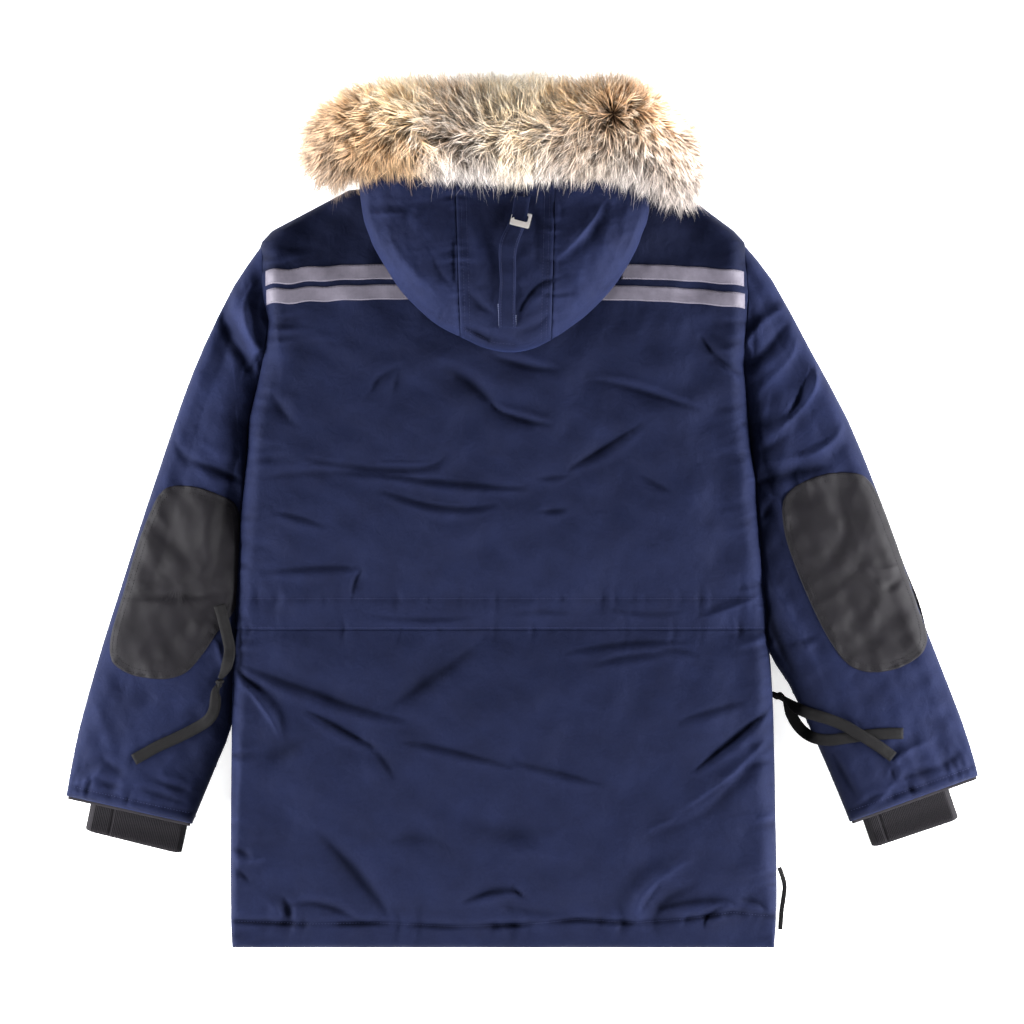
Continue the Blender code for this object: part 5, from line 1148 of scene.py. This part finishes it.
# ---- hood strap -------------------------------------------------------------------------
# A strip of the shell cloth that adjusts the hood, through a flat steel slider.
STRAP_LINE = (
    # x, y, width
    (0.0, 345.0, 17.0), (-2.0, 332.0, 17.0), (-4.0, 318.0, 17.5), (-8.0, 308.0, 18.0),
    (-14.0, 294.0, 19.5), (-16.5, 280.0, 19.0), (-16.0, 252.0, 17.5), (-17.0, 226.0, 18.0),
    (-16.5, 200.0, 18.5),
)
STRAP_THICK, STRAP_LIFT, STRAP_WAVE = 2.2, 0.6, 0.7   # lift off the hood, and how much more at a wave
SLIDER_PLACE, SLIDER_SIZE, SLIDER_TURN = (-1.9, 318.0), (21.5, 17.0), -14.0
SLOT_SIZE, SLOT_SHIFT = (15.0, 7.4), 1.9   # of the slot through it, nearer its upper edge
SLIDER_THICK, SLIDER_CORNER, CORNER_POINTS = 1.5, 1.6, 4
SLIDER_RISE = 3.0             # over the hood, where the strap runs through it
SLIDER_TILT, SLIDER_LEAN = 0.36, 0.1   # more than the hood's own slope: down the strap, and to its left
STRAP_WAVES = 34.0            # radians from its start to its end
STRAP_INSET, STRAP_COVERED = 2.6, 14   # mm to its stitches; points of the route under the slider


def beside_of(line):
    """The way to the left of a line at each of its points, and one long."""
    tangent = np.gradient(line[:, :2], axis=0)
    return np.column_stack([-tangent[:, 1], tangent[:, 0]]) / np.hypot(*tangent.T)[:, None]


def flat_strip(name, route, width, thick, tree, lift, finish, slot, *replaced, lay=None):
    """A flat strip of webbing or cloth along a route of x and y, laid over a skin or at a level."""
    beside = beside_of(route)
    half = np.broadcast_to(width, len(route)) / 2.0
    profile = ((-1.0, 0.5), (-0.93, 1.0), (-0.4, 1.0), (0.4, 1.0), (0.93, 1.0), (1.0, 0.5), (0.93, 0.0),
               (-0.93, 0.0))
    level = height_on(tree, route[:, 0], route[:, 1]) if lay is None else lay
    level = level + np.broadcast_to(lift, len(route))
    rings = np.array([np.column_stack([route[:, :2] + beside * (half * across)[:, None], level + thick * up])
                      for across, up in profile]).transpose(1, 0, 2)
    count, size = len(route), len(profile)
    faces = [(k * size + j, k * size + (j + 1) % size, (k + 1) * size + (j + 1) % size, (k + 1) * size + j)
             for k in range(count - 1) for j in range(size)]
    faces += [tuple(range(size - 1, -1, -1)), tuple(range((count - 1) * size, count * size))]
    mesh = mesh_of(name, rings.reshape(-1, 3), faces, mend=True)
    return new_piece(name, mesh, finish, slot, *replaced)


steel, _, steel_shader = surface("bright_steel")
steel_shader.inputs["Metallic"].default_value = 0.8
steel_shader.inputs["Base Color"].default_value = linear("#f0f0f2")
steel_shader.inputs["Roughness"].default_value = 0.38
strap_route = smooth_route(STRAP_LINE, 60)
strap_run = np.linspace(0.0, 1.0, 60)
strap_lift = STRAP_LIFT + STRAP_WAVE * (1.0 + np.sin(STRAP_WAVES * strap_run)) / 2.0
strap = flat_strip("hood_strap_cloth", strap_route[:, :2], strap_route[:, 2], STRAP_THICK, hood_skin,
                   strap_lift, shell, "shell", "hood_strap")
slider_x, slider_y = SLIDER_PLACE
foot, head = height_on(hood_skin, np.full(2, slider_x), slider_y + np.array((-8.0, 8.0)))
turn = np.radians(SLIDER_TURN)
corner_run = []
for (size_x, size_y), shift in ((SLIDER_SIZE, 0.0), (SLOT_SIZE, SLOT_SHIFT)):
    for corner, (sx, sy) in enumerate(((1, 1), (-1, 1), (-1, -1), (1, -1))):
        for angle in np.radians(90.0 * corner + np.linspace(0.0, 90.0, CORNER_POINTS)):
            px = sx * (size_x / 2.0 - SLIDER_CORNER) + SLIDER_CORNER * np.cos(angle)
            py = sy * (size_y / 2.0 - SLIDER_CORNER) + SLIDER_CORNER * np.sin(angle) + shift
            corner_run.append((slider_x + px * np.cos(turn) - py * np.sin(turn),
                               slider_y + px * np.sin(turn) + py * np.cos(turn)))
# its lower bar lies on the strap, and its upper bar beneath it
level, slope = (foot + head) / 2.0 + SLIDER_RISE, (foot - head) / 16.0 + SLIDER_TILT
points = [(x, y, level + slope * (slider_y - y) + SLIDER_LEAN * (slider_x - x) + z)
          for z in (0.0, SLIDER_THICK) for x, y in corner_run]
faces = []
ring = 4 * CORNER_POINTS
for k in range(ring):
    n = (k + 1) % ring
    # the outer wall, the slot's wall, the upper face and the lower one
    faces += [(k, n, 2 * ring + n, 2 * ring + k), (ring + n, ring + k, 3 * ring + k, 3 * ring + n),
              (2 * ring + k, 2 * ring + n, 3 * ring + n, 3 * ring + k), (n, k, ring + k, ring + n)]
slider = new_piece("hood_strap_slider", mesh_of("slider", points, faces, smooth=False), steel, "steel",
                   "strap_slider")
rounding = slider.modifiers.new("rounding", "BEVEL")
rounding.width, rounding.segments, rounding.limit_method = 0.35 * MM, 2, "ANGLE"
strap_level = height_on(hood_skin, strap_route[:, 0], strap_route[:, 1]) + strap_lift + STRAP_THICK
strap_lines = []
for hand in (-1.0, 1.0):
    inset = hand * (strap_route[:, 2] / 2.0 - STRAP_INSET)
    line = strap_route[:, :2] + beside_of(strap_route) * inset[:, None]
    strap_lines.append(np.column_stack([line, strap_level + 0.1])[STRAP_COVERED:])
strap_stitches = stitch_row("strap_stitches", strap_lines, shell_thread, "shell", pitch=3.0, wide=0.45)
# the strap's foot is held in two short slots with pale bar tacks
pale_thread = plain_cloth("pale_bar_tack_thread", "#8f96b4", 0.6)
tacks = [((-26.6, 226.0), (-26.0, 214.0), (-25.6, 201.0)), ((-7.4, 214.0), (-7.6, 208.0), (-7.8, 201.0))]
strap_tacks = stitch_row("strap_tacks", [laid(hood_skin, line, 1.6) for line in tacks], pale_thread,
                         "shell", pitch=2.0, thick=0.8, wide=0.9)

# ---- ties -------------------------------------------------------------------------------
# Black webbing waist ties come out at the sides and are knotted, with loose tails that lie
# on the sleeves. A narrow pull of the same webbing hangs at the right side of the hem.
WEBBING, WEBBING_THICK = 12.5, 1.4
PULL_WIDTH, PULL_THICK = 5.0, 1.6
TIE_GATHERED, TIE_SPREAD = 0.4, 26.0   # share of its width at the knot, and mm over which it opens
TIES = {
    # x, y, lift over the sleeve
    "tie_left_upper": ((-331.5, -182.0, 2.5), (-326.5, -174.0, 3.0), (-322.5, -164.0, 3.5),
                       (-320.5, -150.0, 3.8), (-323.5, -134.0, 3.8), (-328.0, -115.0, 3.8),
                       (-332.0, -101.0, 3.8)),
    "tie_left_lower": ((-333.0, -189.0, 2.5), (-336.5, -197.0, 2.8), (-336.0, -204.0, 3.0),
                       (-337.5, -216.0, 3.4), (-343.0, -226.0, 3.4), (-354.0, -234.0, 2.4),
                       (-377.0, -246.0, 1.6), (-399.0, -256.0, 1.2), (-426.0, -271.0, 1.0)),
    "tie_right_lower": ((288.5, -205.4, 0.0), (294.0, -218.0, 0.0), (300.0, -230.0, 0.5),
                        (308.0, -240.0, 0.6), (319.0, -247.0, 0.8), (335.0, -249.5, 0.8),
                        (351.0, -247.5, 0.8), (368.0, -245.0, 0.8), (385.0, -243.0, 0.8),
                        (402.0, -242.0, 0.8), (417.0, -242.0, 0.8)),
    "tie_right_upper": ((288.5, -204.6, 1.2), (300.0, -214.0, 2.4), (312.0, -219.5, 2.8),
                        (324.0, -223.0, 2.8), (337.0, -227.0, 2.8), (352.0, -233.0, 3.0),
                        (366.0, -241.0, 3.2), (379.0, -249.0, 3.2), (393.0, -258.0, 2.4),
                        (406.0, -268.0, 1.0)),
}
KNOTS = {
    # x, y, half length, half width, half height, turn in degrees
    "tie_knot_left": (-332.0, -186.5, 6.5, 4.4, 4.0, 60.0),
    "tie_knot_right": (283.4, -202.4, 9.8, 4.8, 4.5, -22.0),
}
HEM_PULL = (
    # x, y, z
    (282.6, -391.0, 22.2), (286.0, -399.0, 14.0), (289.5, -412.0, 5.0),
    (288.5, -426.0, 2.0), (286.5, -440.0, 2.0), (285.5, -452.0, 2.0), (285.0, -461.0, 2.0),
)
webbing = plain_cloth("black_webbing", "#0b0a0c", 0.7, thread=1.3, gloss=0.09, strength=0.8)
for name, route in TIES.items():
    side = "left" if "left" in name else "right"
    fine = smooth_route(route, 46)
    width = WEBBING * np.clip(TIE_GATHERED + run_along(fine[:, :2]) / TIE_SPREAD, TIE_GATHERED, 1.0)
    spots = width[:, None] * np.array((-0.5, 0.0, 0.5))
    spots = fine[:, None, :2] + beside_of(fine)[:, None] * spots[:, :, None]
    level = height_on(sleeve_skins[side], spots[:, :, 0], spots[:, :, 1], beyond=24.5).max(axis=1)
    level = softened(level[:, None], 1.5, 0)[:, 0]
    strip = flat_strip(name + "_webbing", fine[:, :2], width, WEBBING_THICK, None, fine[:, 2], webbing,
                       "webbing", name, lay=level)
    line = np.column_stack([fine[:, :2], level + fine[:, 2] + WEBBING_THICK / 2.0]) * MM
for name, (x, y, half_long, half_wide, half_high, turn) in KNOTS.items():
    side = "left" if "left" in name else "right"
    z = height_on(sleeve_skins[side], np.array([x]), np.array([y]), beyond=22.5)[0] + 2.5
    bpy.ops.mesh.primitive_uv_sphere_add(segments=24, ring_count=14, radius=1.0)
    knot = bpy.context.object
    mesh = knot.data
    bpy.data.objects.remove(knot)
    coords = np.empty(len(mesh.vertices) * 3)
    mesh.vertices.foreach_get("co", coords)
    ball = coords.reshape(-1, 3)
    # two wraps of webbing cross over the knot, with a furrow between them
    wrap = np.sin(5.2 * ball[:, 0] + 2.2 * ball[:, 1]) + 0.6 * np.sin(5.0 * ball[:, 1] - 3.0 * ball[:, 2])
    ball = ball * (0.9 + 0.17 * np.tanh(3.0 * wrap))[:, None] * (half_long, half_wide, half_high)
    angle = np.radians(turn)
    placed = np.column_stack([x + ball[:, 0] * np.cos(angle) - ball[:, 1] * np.sin(angle),
                              y + ball[:, 0] * np.sin(angle) + ball[:, 1] * np.cos(angle), z + ball[:, 2]])
    mesh.vertices.foreach_set("co", (placed * MM).ravel())
    mesh.shade_smooth()
    new_piece(name + "_webbing", mesh, webbing, "webbing", name)
pull = smooth_route(HEM_PULL, 40)
strip = flat_strip("hem_pull_webbing", pull[:, :2], PULL_WIDTH, PULL_THICK, None, 0.0, webbing, "webbing",
                   "hem_pull", lay=pull[:, 2] - PULL_THICK / 2.0)

# ---- front zip --------------------------------------------------------------------------
# The closed zip on the underside: woven tape with two rows of moulded teeth.
zip_low, zip_high = (np.array(corner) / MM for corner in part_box("front_zip"))
TOOTH_PITCH, TOOTH_LONG, TOOTH_WIDE, TOOTH_DEEP = 4.2, 4.2, 2.3, 0.4
TOOTH_OUT, ZIP_END = 0.32, 6.0   # share of a tooth to the side of the middle; mm without teeth at an end
zip_tape = plain_cloth("navy_zip_tape", "#161829", 0.7)
zip_teeth = plain_cloth("moulded_zip_teeth", "#1c1c22", 0.45, gloss=0.4)
zip_x = (zip_low[0] + zip_high[0]) / 2.0
tape_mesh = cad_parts["front_zip"].data.copy()
new_piece("front_zip_tape", tape_mesh, zip_tape, "zip_tape", "front_zip")
points, faces = [], []
for k in range(int((zip_high[1] - zip_low[1] - 2.0 * ZIP_END) / TOOTH_PITCH)):
    y0 = zip_low[1] + ZIP_END + k * TOOTH_PITCH
    for hand in (-1.0, 1.0):
        x0 = zip_x + hand * TOOTH_LONG * TOOTH_OUT
        y1 = y0 + (TOOTH_PITCH / 2.0 if hand > 0 else 0.0)
        n = len(points)
        for dz in (-TOOTH_DEEP, 0.2):
            points += [(x0 + sx * TOOTH_LONG / 2, y1 + sy * TOOTH_WIDE / 2, zip_low[2] + dz)
                       for sx, sy in ((-1, -1), (1, -1), (1, 1), (-1, 1))]
        faces += [(n + 3, n + 2, n + 1, n), (n + 4, n + 5, n + 6, n + 7)]
        faces += [(n + j, n + (j + 1) % 4, n + 4 + (j + 1) % 4, n + 4 + j) for j in range(4)]
new_piece("front_zip_teeth", mesh_of("teeth", points, faces, smooth=False), zip_teeth, "zip_tape")

# ---- fur trim ---------------------------------------------------------------------------
# A wide trim of long fur on a soft pelt, folded flat with the hood. Dense hairs in small
# locks sweep away from a parting along its middle, and swirl near both ends.
PELT_VOXEL, PELT_SHRINK = 6.0 * MM, 6.0
PELT_MIDDLE = (
    # x, y of the trim's middle line, to which the pelt is drawn in
    (-238.0, 402.0), (-208.0, 404.0), (-172.0, 420.0), (120.0, 412.0), (147.0, 402.0),
    (184.0, 380.0), (197.0, 378.0),
)
PELT_WIDTH = (0.52, 0.68)     # what is left of its lower and upper half under the hair
PELT_LENGTH = 0.95
LOCKS, HAIRS, HAIR_PIECES = 4200, 54000, 3
HAIR_LONG, HAIR_THICK = (21.0, 41.0), 0.5
HAIR_STEPS = np.array((0.0, 0.5, 1.0))   # along each hair
ONE_HAIR = (
    # faces of a hair: its foot, its tip, and the sides between two rings of three points
    (2, 1, 0), (3, 4, 6), (4, 5, 6), (5, 3, 6),
    (0, 1, 4), (1, 2, 5), (2, 0, 3), (0, 4, 3), (1, 5, 4), (2, 3, 5),
)
LOCK_SPREAD, LOCK_BEND = 0.34, 0.6   # radians; how far locks bend to a side
HAIR_SPREAD, HAIR_BEND = 0.3, 0.2   # the same, of the hairs in a lock
STRAYS, STRAY_LONG, STRAY_SPREAD, STRAY_THICK = 0.09, 1.3, 2.2, 0.8   # share of the hairs; times as much
GUARD_HAIRS, GUARD_THICK, GUARD_LIFT = 0.22, 1.5, 2.5   # share of the hairs; times; mm at the tip
LOCK_CLOSING = 0.55           # how much nearer the hairs of a lock lie at its tip
HIDDEN_SHARE, HIDDEN_UNDER = 0.45, 75.0   # how dense the hair is below this height
FLOW_REACH, TONE_REACH = 16.0, 0.55   # mm, and times the reach in the table
FUR_TOP, FUR_FOOT = (420.0, 38.0), (412.0, -50.0)   # y from which it gets paler or darker, and how soon
# painted light: the fur's top is painted paler where the lamps light it too little; the fur is darker towards
# its foot
TOP_PAINTED_LIGHT, FOOT_DARKER = 0.85, 0.34
# the dark hairs are partly the fur's own colour and partly painted shade for the gaps between locks
DARK_HAIRS, DARK_AT_TOP, DARK_SHADE = 0.46, 0.06, 0.28   # shares of the hairs, and their brightness
# the guard hairs are painted paler, partly their own colour and partly a painted highlight on single hairs
GUARD_SHADE, UNDER_SHADE = 1.35, 0.84
FUR_FLOW = (
    # x, y, direction of the hairs in degrees, anticlockwise from the right
    (-204.0, 465.0, 130.0), (-165.0, 473.0, 110.0), (-190.0, 440.0, 185.0), (-215.0, 430.0, 205.0),
    (-226.0, 400.0, 232.0), (-217.0, 368.0, 250.0), (-190.0, 395.0, 238.0), (-165.0, 420.0, 205.0),
    (-165.0, 445.0, 172.0), (-140.0, 430.0, 160.0), (-150.0, 400.0, 250.0), (-132.0, 402.0, 320.0),
    (-130.0, 372.0, 285.0), (-165.0, 365.0, 250.0), (-110.0, 445.0, 145.0), (-110.0, 465.0, 115.0),
    (-80.0, 420.0, 150.0), (-92.0, 385.0, 305.0), (-80.0, 360.0, 285.0), (-50.0, 455.0, 110.0),
    (-40.0, 415.0, 140.0), (-42.0, 385.0, 300.0), (-40.0, 360.0, 272.0), (-10.0, 460.0, 88.0),
    (0.0, 430.0, 80.0), (0.0, 400.0, 245.0), (0.0, 370.0, 262.0), (30.0, 465.0, 82.0),
    (35.0, 430.0, 150.0), (35.0, 400.0, 222.0), (35.0, 365.0, 240.0), (70.0, 468.0, 105.0),
    (75.0, 437.0, 215.0), (75.0, 405.0, 240.0), (75.0, 365.0, 250.0), (110.0, 470.0, 80.0),
    (120.0, 430.0, 320.0), (96.0, 462.0, 92.0), (98.0, 449.0, 80.0), (110.0, 405.0, 262.0),
    (110.0, 360.0, 260.0), (145.0, 462.0, 60.0),
    (150.0, 430.0, 330.0), (150.0, 395.0, 285.0), (150.0, 350.0, 278.0), (180.0, 440.0, 20.0),
    (190.0, 410.0, 325.0), (190.0, 370.0, 302.0), (186.0, 335.0, 290.0),
)
FUR_TONES = (
    # x, y, reach, hair root, hair middle, hair tip
    (-200.0, 440.0, 50.0, "#422a16", "#80603f", "#bc9f7e"),
    (-215.0, 385.0, 45.0, "#46301f", "#7c624b", "#baa48e"),
    (-150.0, 400.0, 34.0, "#3a2210", "#7a522a", "#ccac84"),
    (-120.0, 455.0, 40.0, "#9a744a", "#f2d2a2", "#fff4de"),
    (-70.0, 420.0, 40.0, "#4a3422", "#a08870", "#f4e8da"),
    (-60.0, 365.0, 45.0, "#382e2a", "#7e7674", "#d2ced0"),
    (-10.0, 455.0, 38.0, "#d2b282", "#ffe8c0", "#fff8ea"),
    (0.0, 400.0, 36.0, "#665038", "#d2b896", "#faf0e2"),
    (30.0, 360.0, 40.0, "#382e2a", "#7e7674", "#d2ced0"),
    (60.0, 462.0, 34.0, "#a07a50", "#ecca9c", "#fff4e0"),
    (107.0, 448.0, 30.0, "#34210f", "#8c643c", "#f8e2c2"),
    (80.0, 400.0, 42.0, "#4a3624", "#a0866e", "#e8dacb"),
    (110.0, 365.0, 45.0, "#322824", "#7a706a", "#d2ccca"),
    (150.0, 440.0, 34.0, "#7a5434", "#d4aa80", "#fdeeda"),
    (175.0, 400.0, 40.0, "#5e4634", "#b2967e", "#f2e0d0"),
    (180.0, 350.0, 40.0, "#3e332e", "#968a82", "#e6dcd6"),
)


def fur_hair(name):
    """Hairs with a soft gloss, whose colour is kept at their points, from a dark root to a pale tip."""
    made, tree, shader = surface(name)
    colour = add(tree, "ShaderNodeAttribute", attribute_name="hair_colour", attribute_type="GEOMETRY")
    tree.links.new(colour.outputs["Color"], shader.inputs["Base Color"])
    shader.inputs["Roughness"].default_value = 0.38
    shader.inputs["Specular IOR Level"].default_value = 0.5
    return made


def weighted(points, table, reach, columns):
    """Blend a table's columns at points, by how near each row's place is."""
    places = np.array([row[:2] for row in table])
    gap = ((points[:, None, :2] - places[None]) ** 2).sum(axis=2)
    weight = np.exp(-gap / (2.0 * np.asarray(reach)[None] ** 2)) + 1e-9
    return np.einsum("ij,jk->ik", weight, columns) / weight.sum(axis=1)[:, None]


def unit(vectors):
    """Vectors of the same ways that are one long."""
    return vectors / np.maximum(np.linalg.norm(vectors, axis=-1, keepdims=True), 1e-9)


def hair_paths(roots, normals, angles, lengths, random, bend):
    """Points along hairs that rise from the pelt and bend over to lie along it."""
    flow = np.column_stack([np.cos(angles), np.sin(angles), np.zeros(len(angles))])
    start = unit(flow * 0.85 + normals * 0.55 + random.normal(0.0, 0.14, flow.shape))
    side = np.column_stack([-flow[:, 1], flow[:, 0], np.zeros(len(flow))])
    final = unit(flow + normals * 0.12 - (0.0, 0.0, 0.28) + side * bend[:, None])
    t = HAIR_STEPS[None, :, None]
    return (roots[:, None] + lengths[:, None, None]
            * (start[:, None] * (t - 0.5 * t ** 2) + final[:, None] * 0.5 * t ** 2))


pelt_under = plain_cloth("pelt_underwool", "#2e2016", 0.9)
pelts = []
for part in ("upper", "lower"):
    pelt = from_solid("fur_pelt_" + part, "fur_" + part, PELT_VOXEL, pelt_under, "fur", smooth=4)
    points, normals = points_of(pelt)
    apart = np.clip(normals[:, 2] * (-1.0 if part == "upper" else 1.0), 0.0, 1.0)
    points = points - normals * (PELT_SHRINK * (1.0 - apart))[:, None]
    middle = np.interp(points[:, 0], *np.array(PELT_MIDDLE).T)
    points[:, 1] = middle + (points[:, 1] - middle) * np.where(points[:, 1] < middle, *PELT_WIDTH)
    centre = (PELT_MIDDLE[0][0] + PELT_MIDDLE[-1][0]) / 2.0
    points[:, 0] = centre + (points[:, 0] - centre) * PELT_LENGTH
    pelt.data.vertices.foreach_set("co", (points * MM).ravel())
    pelt.data.update()
    pelts.append(pelt)
random = np.random.default_rng(7)
corners = []
for pelt in pelts:
    points, _ = points_of(pelt)
    pelt.data.calc_loop_triangles()
    triangles = np.empty(len(pelt.data.loop_triangles) * 3, dtype=int)
    pelt.data.loop_triangles.foreach_get("vertices", triangles)
    corners.append(points[triangles.reshape(-1, 3)])
corners = np.concatenate(corners)
cross = np.cross(corners[:, 1] - corners[:, 0], corners[:, 2] - corners[:, 0])
areas = np.linalg.norm(cross, axis=1) / 2.0
facing = unit(cross)
high = corners[:, :, 2].mean(axis=1) > HIDDEN_UNDER
shown = np.where(facing[:, 2] > -0.35, 1.0, 0.0) * np.where(high, 1.0, HIDDEN_SHARE)
chance = areas * shown / (areas * shown).sum()


def scatter(count):
    """Random roots on the pelt, with the way that it faces there."""
    chosen = random.choice(len(chance), count, p=chance)
    a, b = random.random((2, count, 1))
    a, b = np.where(a + b > 1.0, 1.0 - a, a), np.where(a + b > 1.0, 1.0 - b, b)
    base = corners[chosen]
    return base[:, 0] + a * (base[:, 1] - base[:, 0]) + b * (base[:, 2] - base[:, 0]), facing[chosen]


def flow_angle(roots):
    """The way that the hair is combed, and how little the table's rows agree there."""
    turns = np.radians([row[2] for row in FUR_FLOW])
    mixed = weighted(roots, FUR_FLOW, np.full(len(FUR_FLOW), FLOW_REACH),
                     np.column_stack([np.cos(turns), np.sin(turns)]))
    return np.arctan2(mixed[:, 1], mixed[:, 0]), 1.0 - np.hypot(mixed[:, 0], mixed[:, 1])


lock_roots, lock_normals = scatter(LOCKS)
lock_angles, loose = flow_angle(lock_roots)
lock_angles = lock_angles + random.normal(0.0, LOCK_SPREAD, LOCKS) * (1.0 + 3.0 * loose)
lock_lengths = random.uniform(*HAIR_LONG, LOCKS)
lock_bend = random.normal(0.0, LOCK_BEND, LOCKS)
locks = hair_paths(lock_roots, lock_normals, lock_angles, lock_lengths, random, lock_bend)
roots, normals = scatter(HAIRS)
from_lock = KDTree(LOCKS)
for number, place in enumerate(lock_roots):
    from_lock.insert(place, number)
from_lock.balance()
mine = np.array([from_lock.find(place)[1] for place in roots])
stray = random.random(HAIRS) < STRAYS
guard = random.random(HAIRS) < GUARD_HAIRS
angles = flow_angle(roots)[0] + random.normal(0.0, HAIR_SPREAD, HAIRS) * np.where(stray, STRAY_SPREAD, 1.0)
lengths = lock_lengths[mine] * random.uniform(0.7, 1.15, HAIRS)
lengths[stray] *= STRAY_LONG
bend = lock_bend[mine] + random.normal(0.0, HAIR_BEND, HAIRS)
paths = hair_paths(roots, normals, angles, lengths, random, bend)
gather = np.where(stray, 0.1, random.uniform(0.35, 0.85, HAIRS))[:, None, None]
gather = gather * HAIR_STEPS[None, :, None]
offset = (roots - lock_roots[mine])[:, None] * (1.0 - LOCK_CLOSING * HAIR_STEPS)[None, :, None]
paths = paths * (1.0 - gather) + (locks[mine] + offset) * gather
paths[:, :, 2] = np.maximum(paths[:, :, 2] + np.where(guard, GUARD_LIFT, 0.0)[:, None] * HAIR_STEPS, 1.0)
tone_reach = np.array([row[2] for row in FUR_TONES]) * TONE_REACH
tones = [weighted(roots, FUR_TONES, tone_reach, np.array([linear(row[k])[:3] for row in FUR_TONES]))
         for k in (3, 4, 5)]
high_up, low_down = ramp(roots[:, 1], *FUR_TOP), ramp(roots[:, 1], *FUR_FOOT)
shade = random.normal(1.0, 0.2, HAIRS) * random.normal(1.0, 0.22, LOCKS)[mine]
# painted light at the fur's top, darker towards its foot; guard hairs paler, partly as a painted highlight
shade *= np.where(guard, GUARD_SHADE, UNDER_SHADE) * (1.0 + TOP_PAINTED_LIGHT * high_up - FOOT_DARKER * low_down)
dark = (random.random(HAIRS) < DARK_HAIRS - (DARK_HAIRS - DARK_AT_TOP) * high_up) & ~guard
thick = HAIR_THICK * random.uniform(0.7, 1.25, HAIRS)
thick = thick * np.where(stray, STRAY_THICK, np.where(guard, GUARD_THICK, 1.0))
hair = fur_hair("coyote_like_fur_hair")
for piece_number, chosen in enumerate(np.array_split(random.permutation(HAIRS), HAIR_PIECES)):
    line = paths[chosen]
    along = unit(np.gradient(line, axis=1))
    beside = unit(np.cross(along, (0.0, 0.0, 1.0)) + (1e-6, 0.0, 0.0))
    over = np.cross(beside, along)
    radius = thick[chosen][:, None] / 2.0 * np.array((0.9, 0.8))[None]
    rings = [line[:, :2] + radius[:, :, None] * (beside[:, :2] * np.cos(turn) + over[:, :2] * np.sin(turn))
             for turn in np.radians((90.0, 210.0, 330.0))]
    count = len(chosen)
    points = np.concatenate([np.stack(rings, axis=2).reshape(count, 6, 3), line[:, 2:]], axis=1)
    faces = (np.array(ONE_HAIR)[None] + 7 * np.arange(count)[:, None, None]).reshape(-1, 3)
    mesh = mesh_of("hairs", points.reshape(-1, 3), faces.tolist())
    stops = np.array((0.0, 0.0, 0.0, 1.0, 1.0, 1.0, 2.0))[None, :, None]
    low, middle, high = (tone[chosen][:, None] for tone in tones)
    colour = np.where(stops < 1.0, low, middle + (high - middle) * (stops - 1.0))
    # dark hairs: partly their own colour, partly painted shade in the gaps between locks
    colour = np.where(dark[chosen][:, None, None], colour * DARK_SHADE, colour)
    # where it gets brighter than white it keeps its hue
    colour = np.maximum(colour * shade[chosen][:, None, None], 0.0)
    colour /= np.maximum(colour.max(axis=2, keepdims=True), 1.0)
    layer = mesh.color_attributes.new("hair_colour", "FLOAT_COLOR", "POINT")
    layer.data.foreach_set("color", np.concatenate([colour, np.ones((count, 7, 1))], axis=2).ravel())
    new_piece("fur_hairs_%d" % (piece_number + 1), mesh, hair, "fur")

# ---- floor and light ----------------------------------------------------------------------
# A plain pale floor. Two wide soft lights stand low at the sides, and one hangs above.
FLOOR_GLOW = 0.55             # the floor is a light table, so that it is white all round
bpy.ops.mesh.primitive_plane_add(size=8.0, location=(0.0, 0.0, -0.0006))
floor = bpy.context.object
floor.name = "floor"
pale, _, pale_shader = surface("pale_floor")
pale_shader.inputs["Base Color"].default_value = linear("#f4f4f4")
pale_shader.inputs["Roughness"].default_value = 0.9
pale_shader.inputs["Emission Color"].default_value = linear("#ffffff")
pale_shader.inputs["Emission Strength"].default_value = FLOOR_GLOW
floor.data.materials.append(pale)

LIGHTS = (
    # name, place, width, length, power
    ("side_left", (-2.0, -0.3, 0.62), 1.0, 1.8, 255.0),
    ("side_right", (2.0, -0.3, 0.62), 1.0, 1.8, 300.0),
    ("foot", (0.0, -2.0, 1.0), 2.4, 1.0, 64.0),
    ("overhead", (0.0, -0.6, 3.0), 2.2, 2.2, 12.0),
)
for name, place, wide, long, power in LIGHTS:
    lamp = bpy.data.lights.new(name, "AREA")
    lamp.shape, lamp.size, lamp.size_y, lamp.energy = "RECTANGLE", wide, long, power
    holder = bpy.data.objects.new(name, lamp)
    holder.location = place
    holder.rotation_euler = Vector(place).to_track_quat("Z", "X" if abs(place[0]) > 1.0 else "Y").to_euler()
    bpy.context.scene.collection.objects.link(holder)
world = bpy.data.worlds.new("studio")
world.use_nodes = True
world.node_tree.nodes["Background"].inputs["Color"].default_value = linear("#ffffff")
world.node_tree.nodes["Background"].inputs["Strength"].default_value = 0.12
bpy.context.scene.world = world
bpy.context.scene.view_settings.view_transform = "Standard"
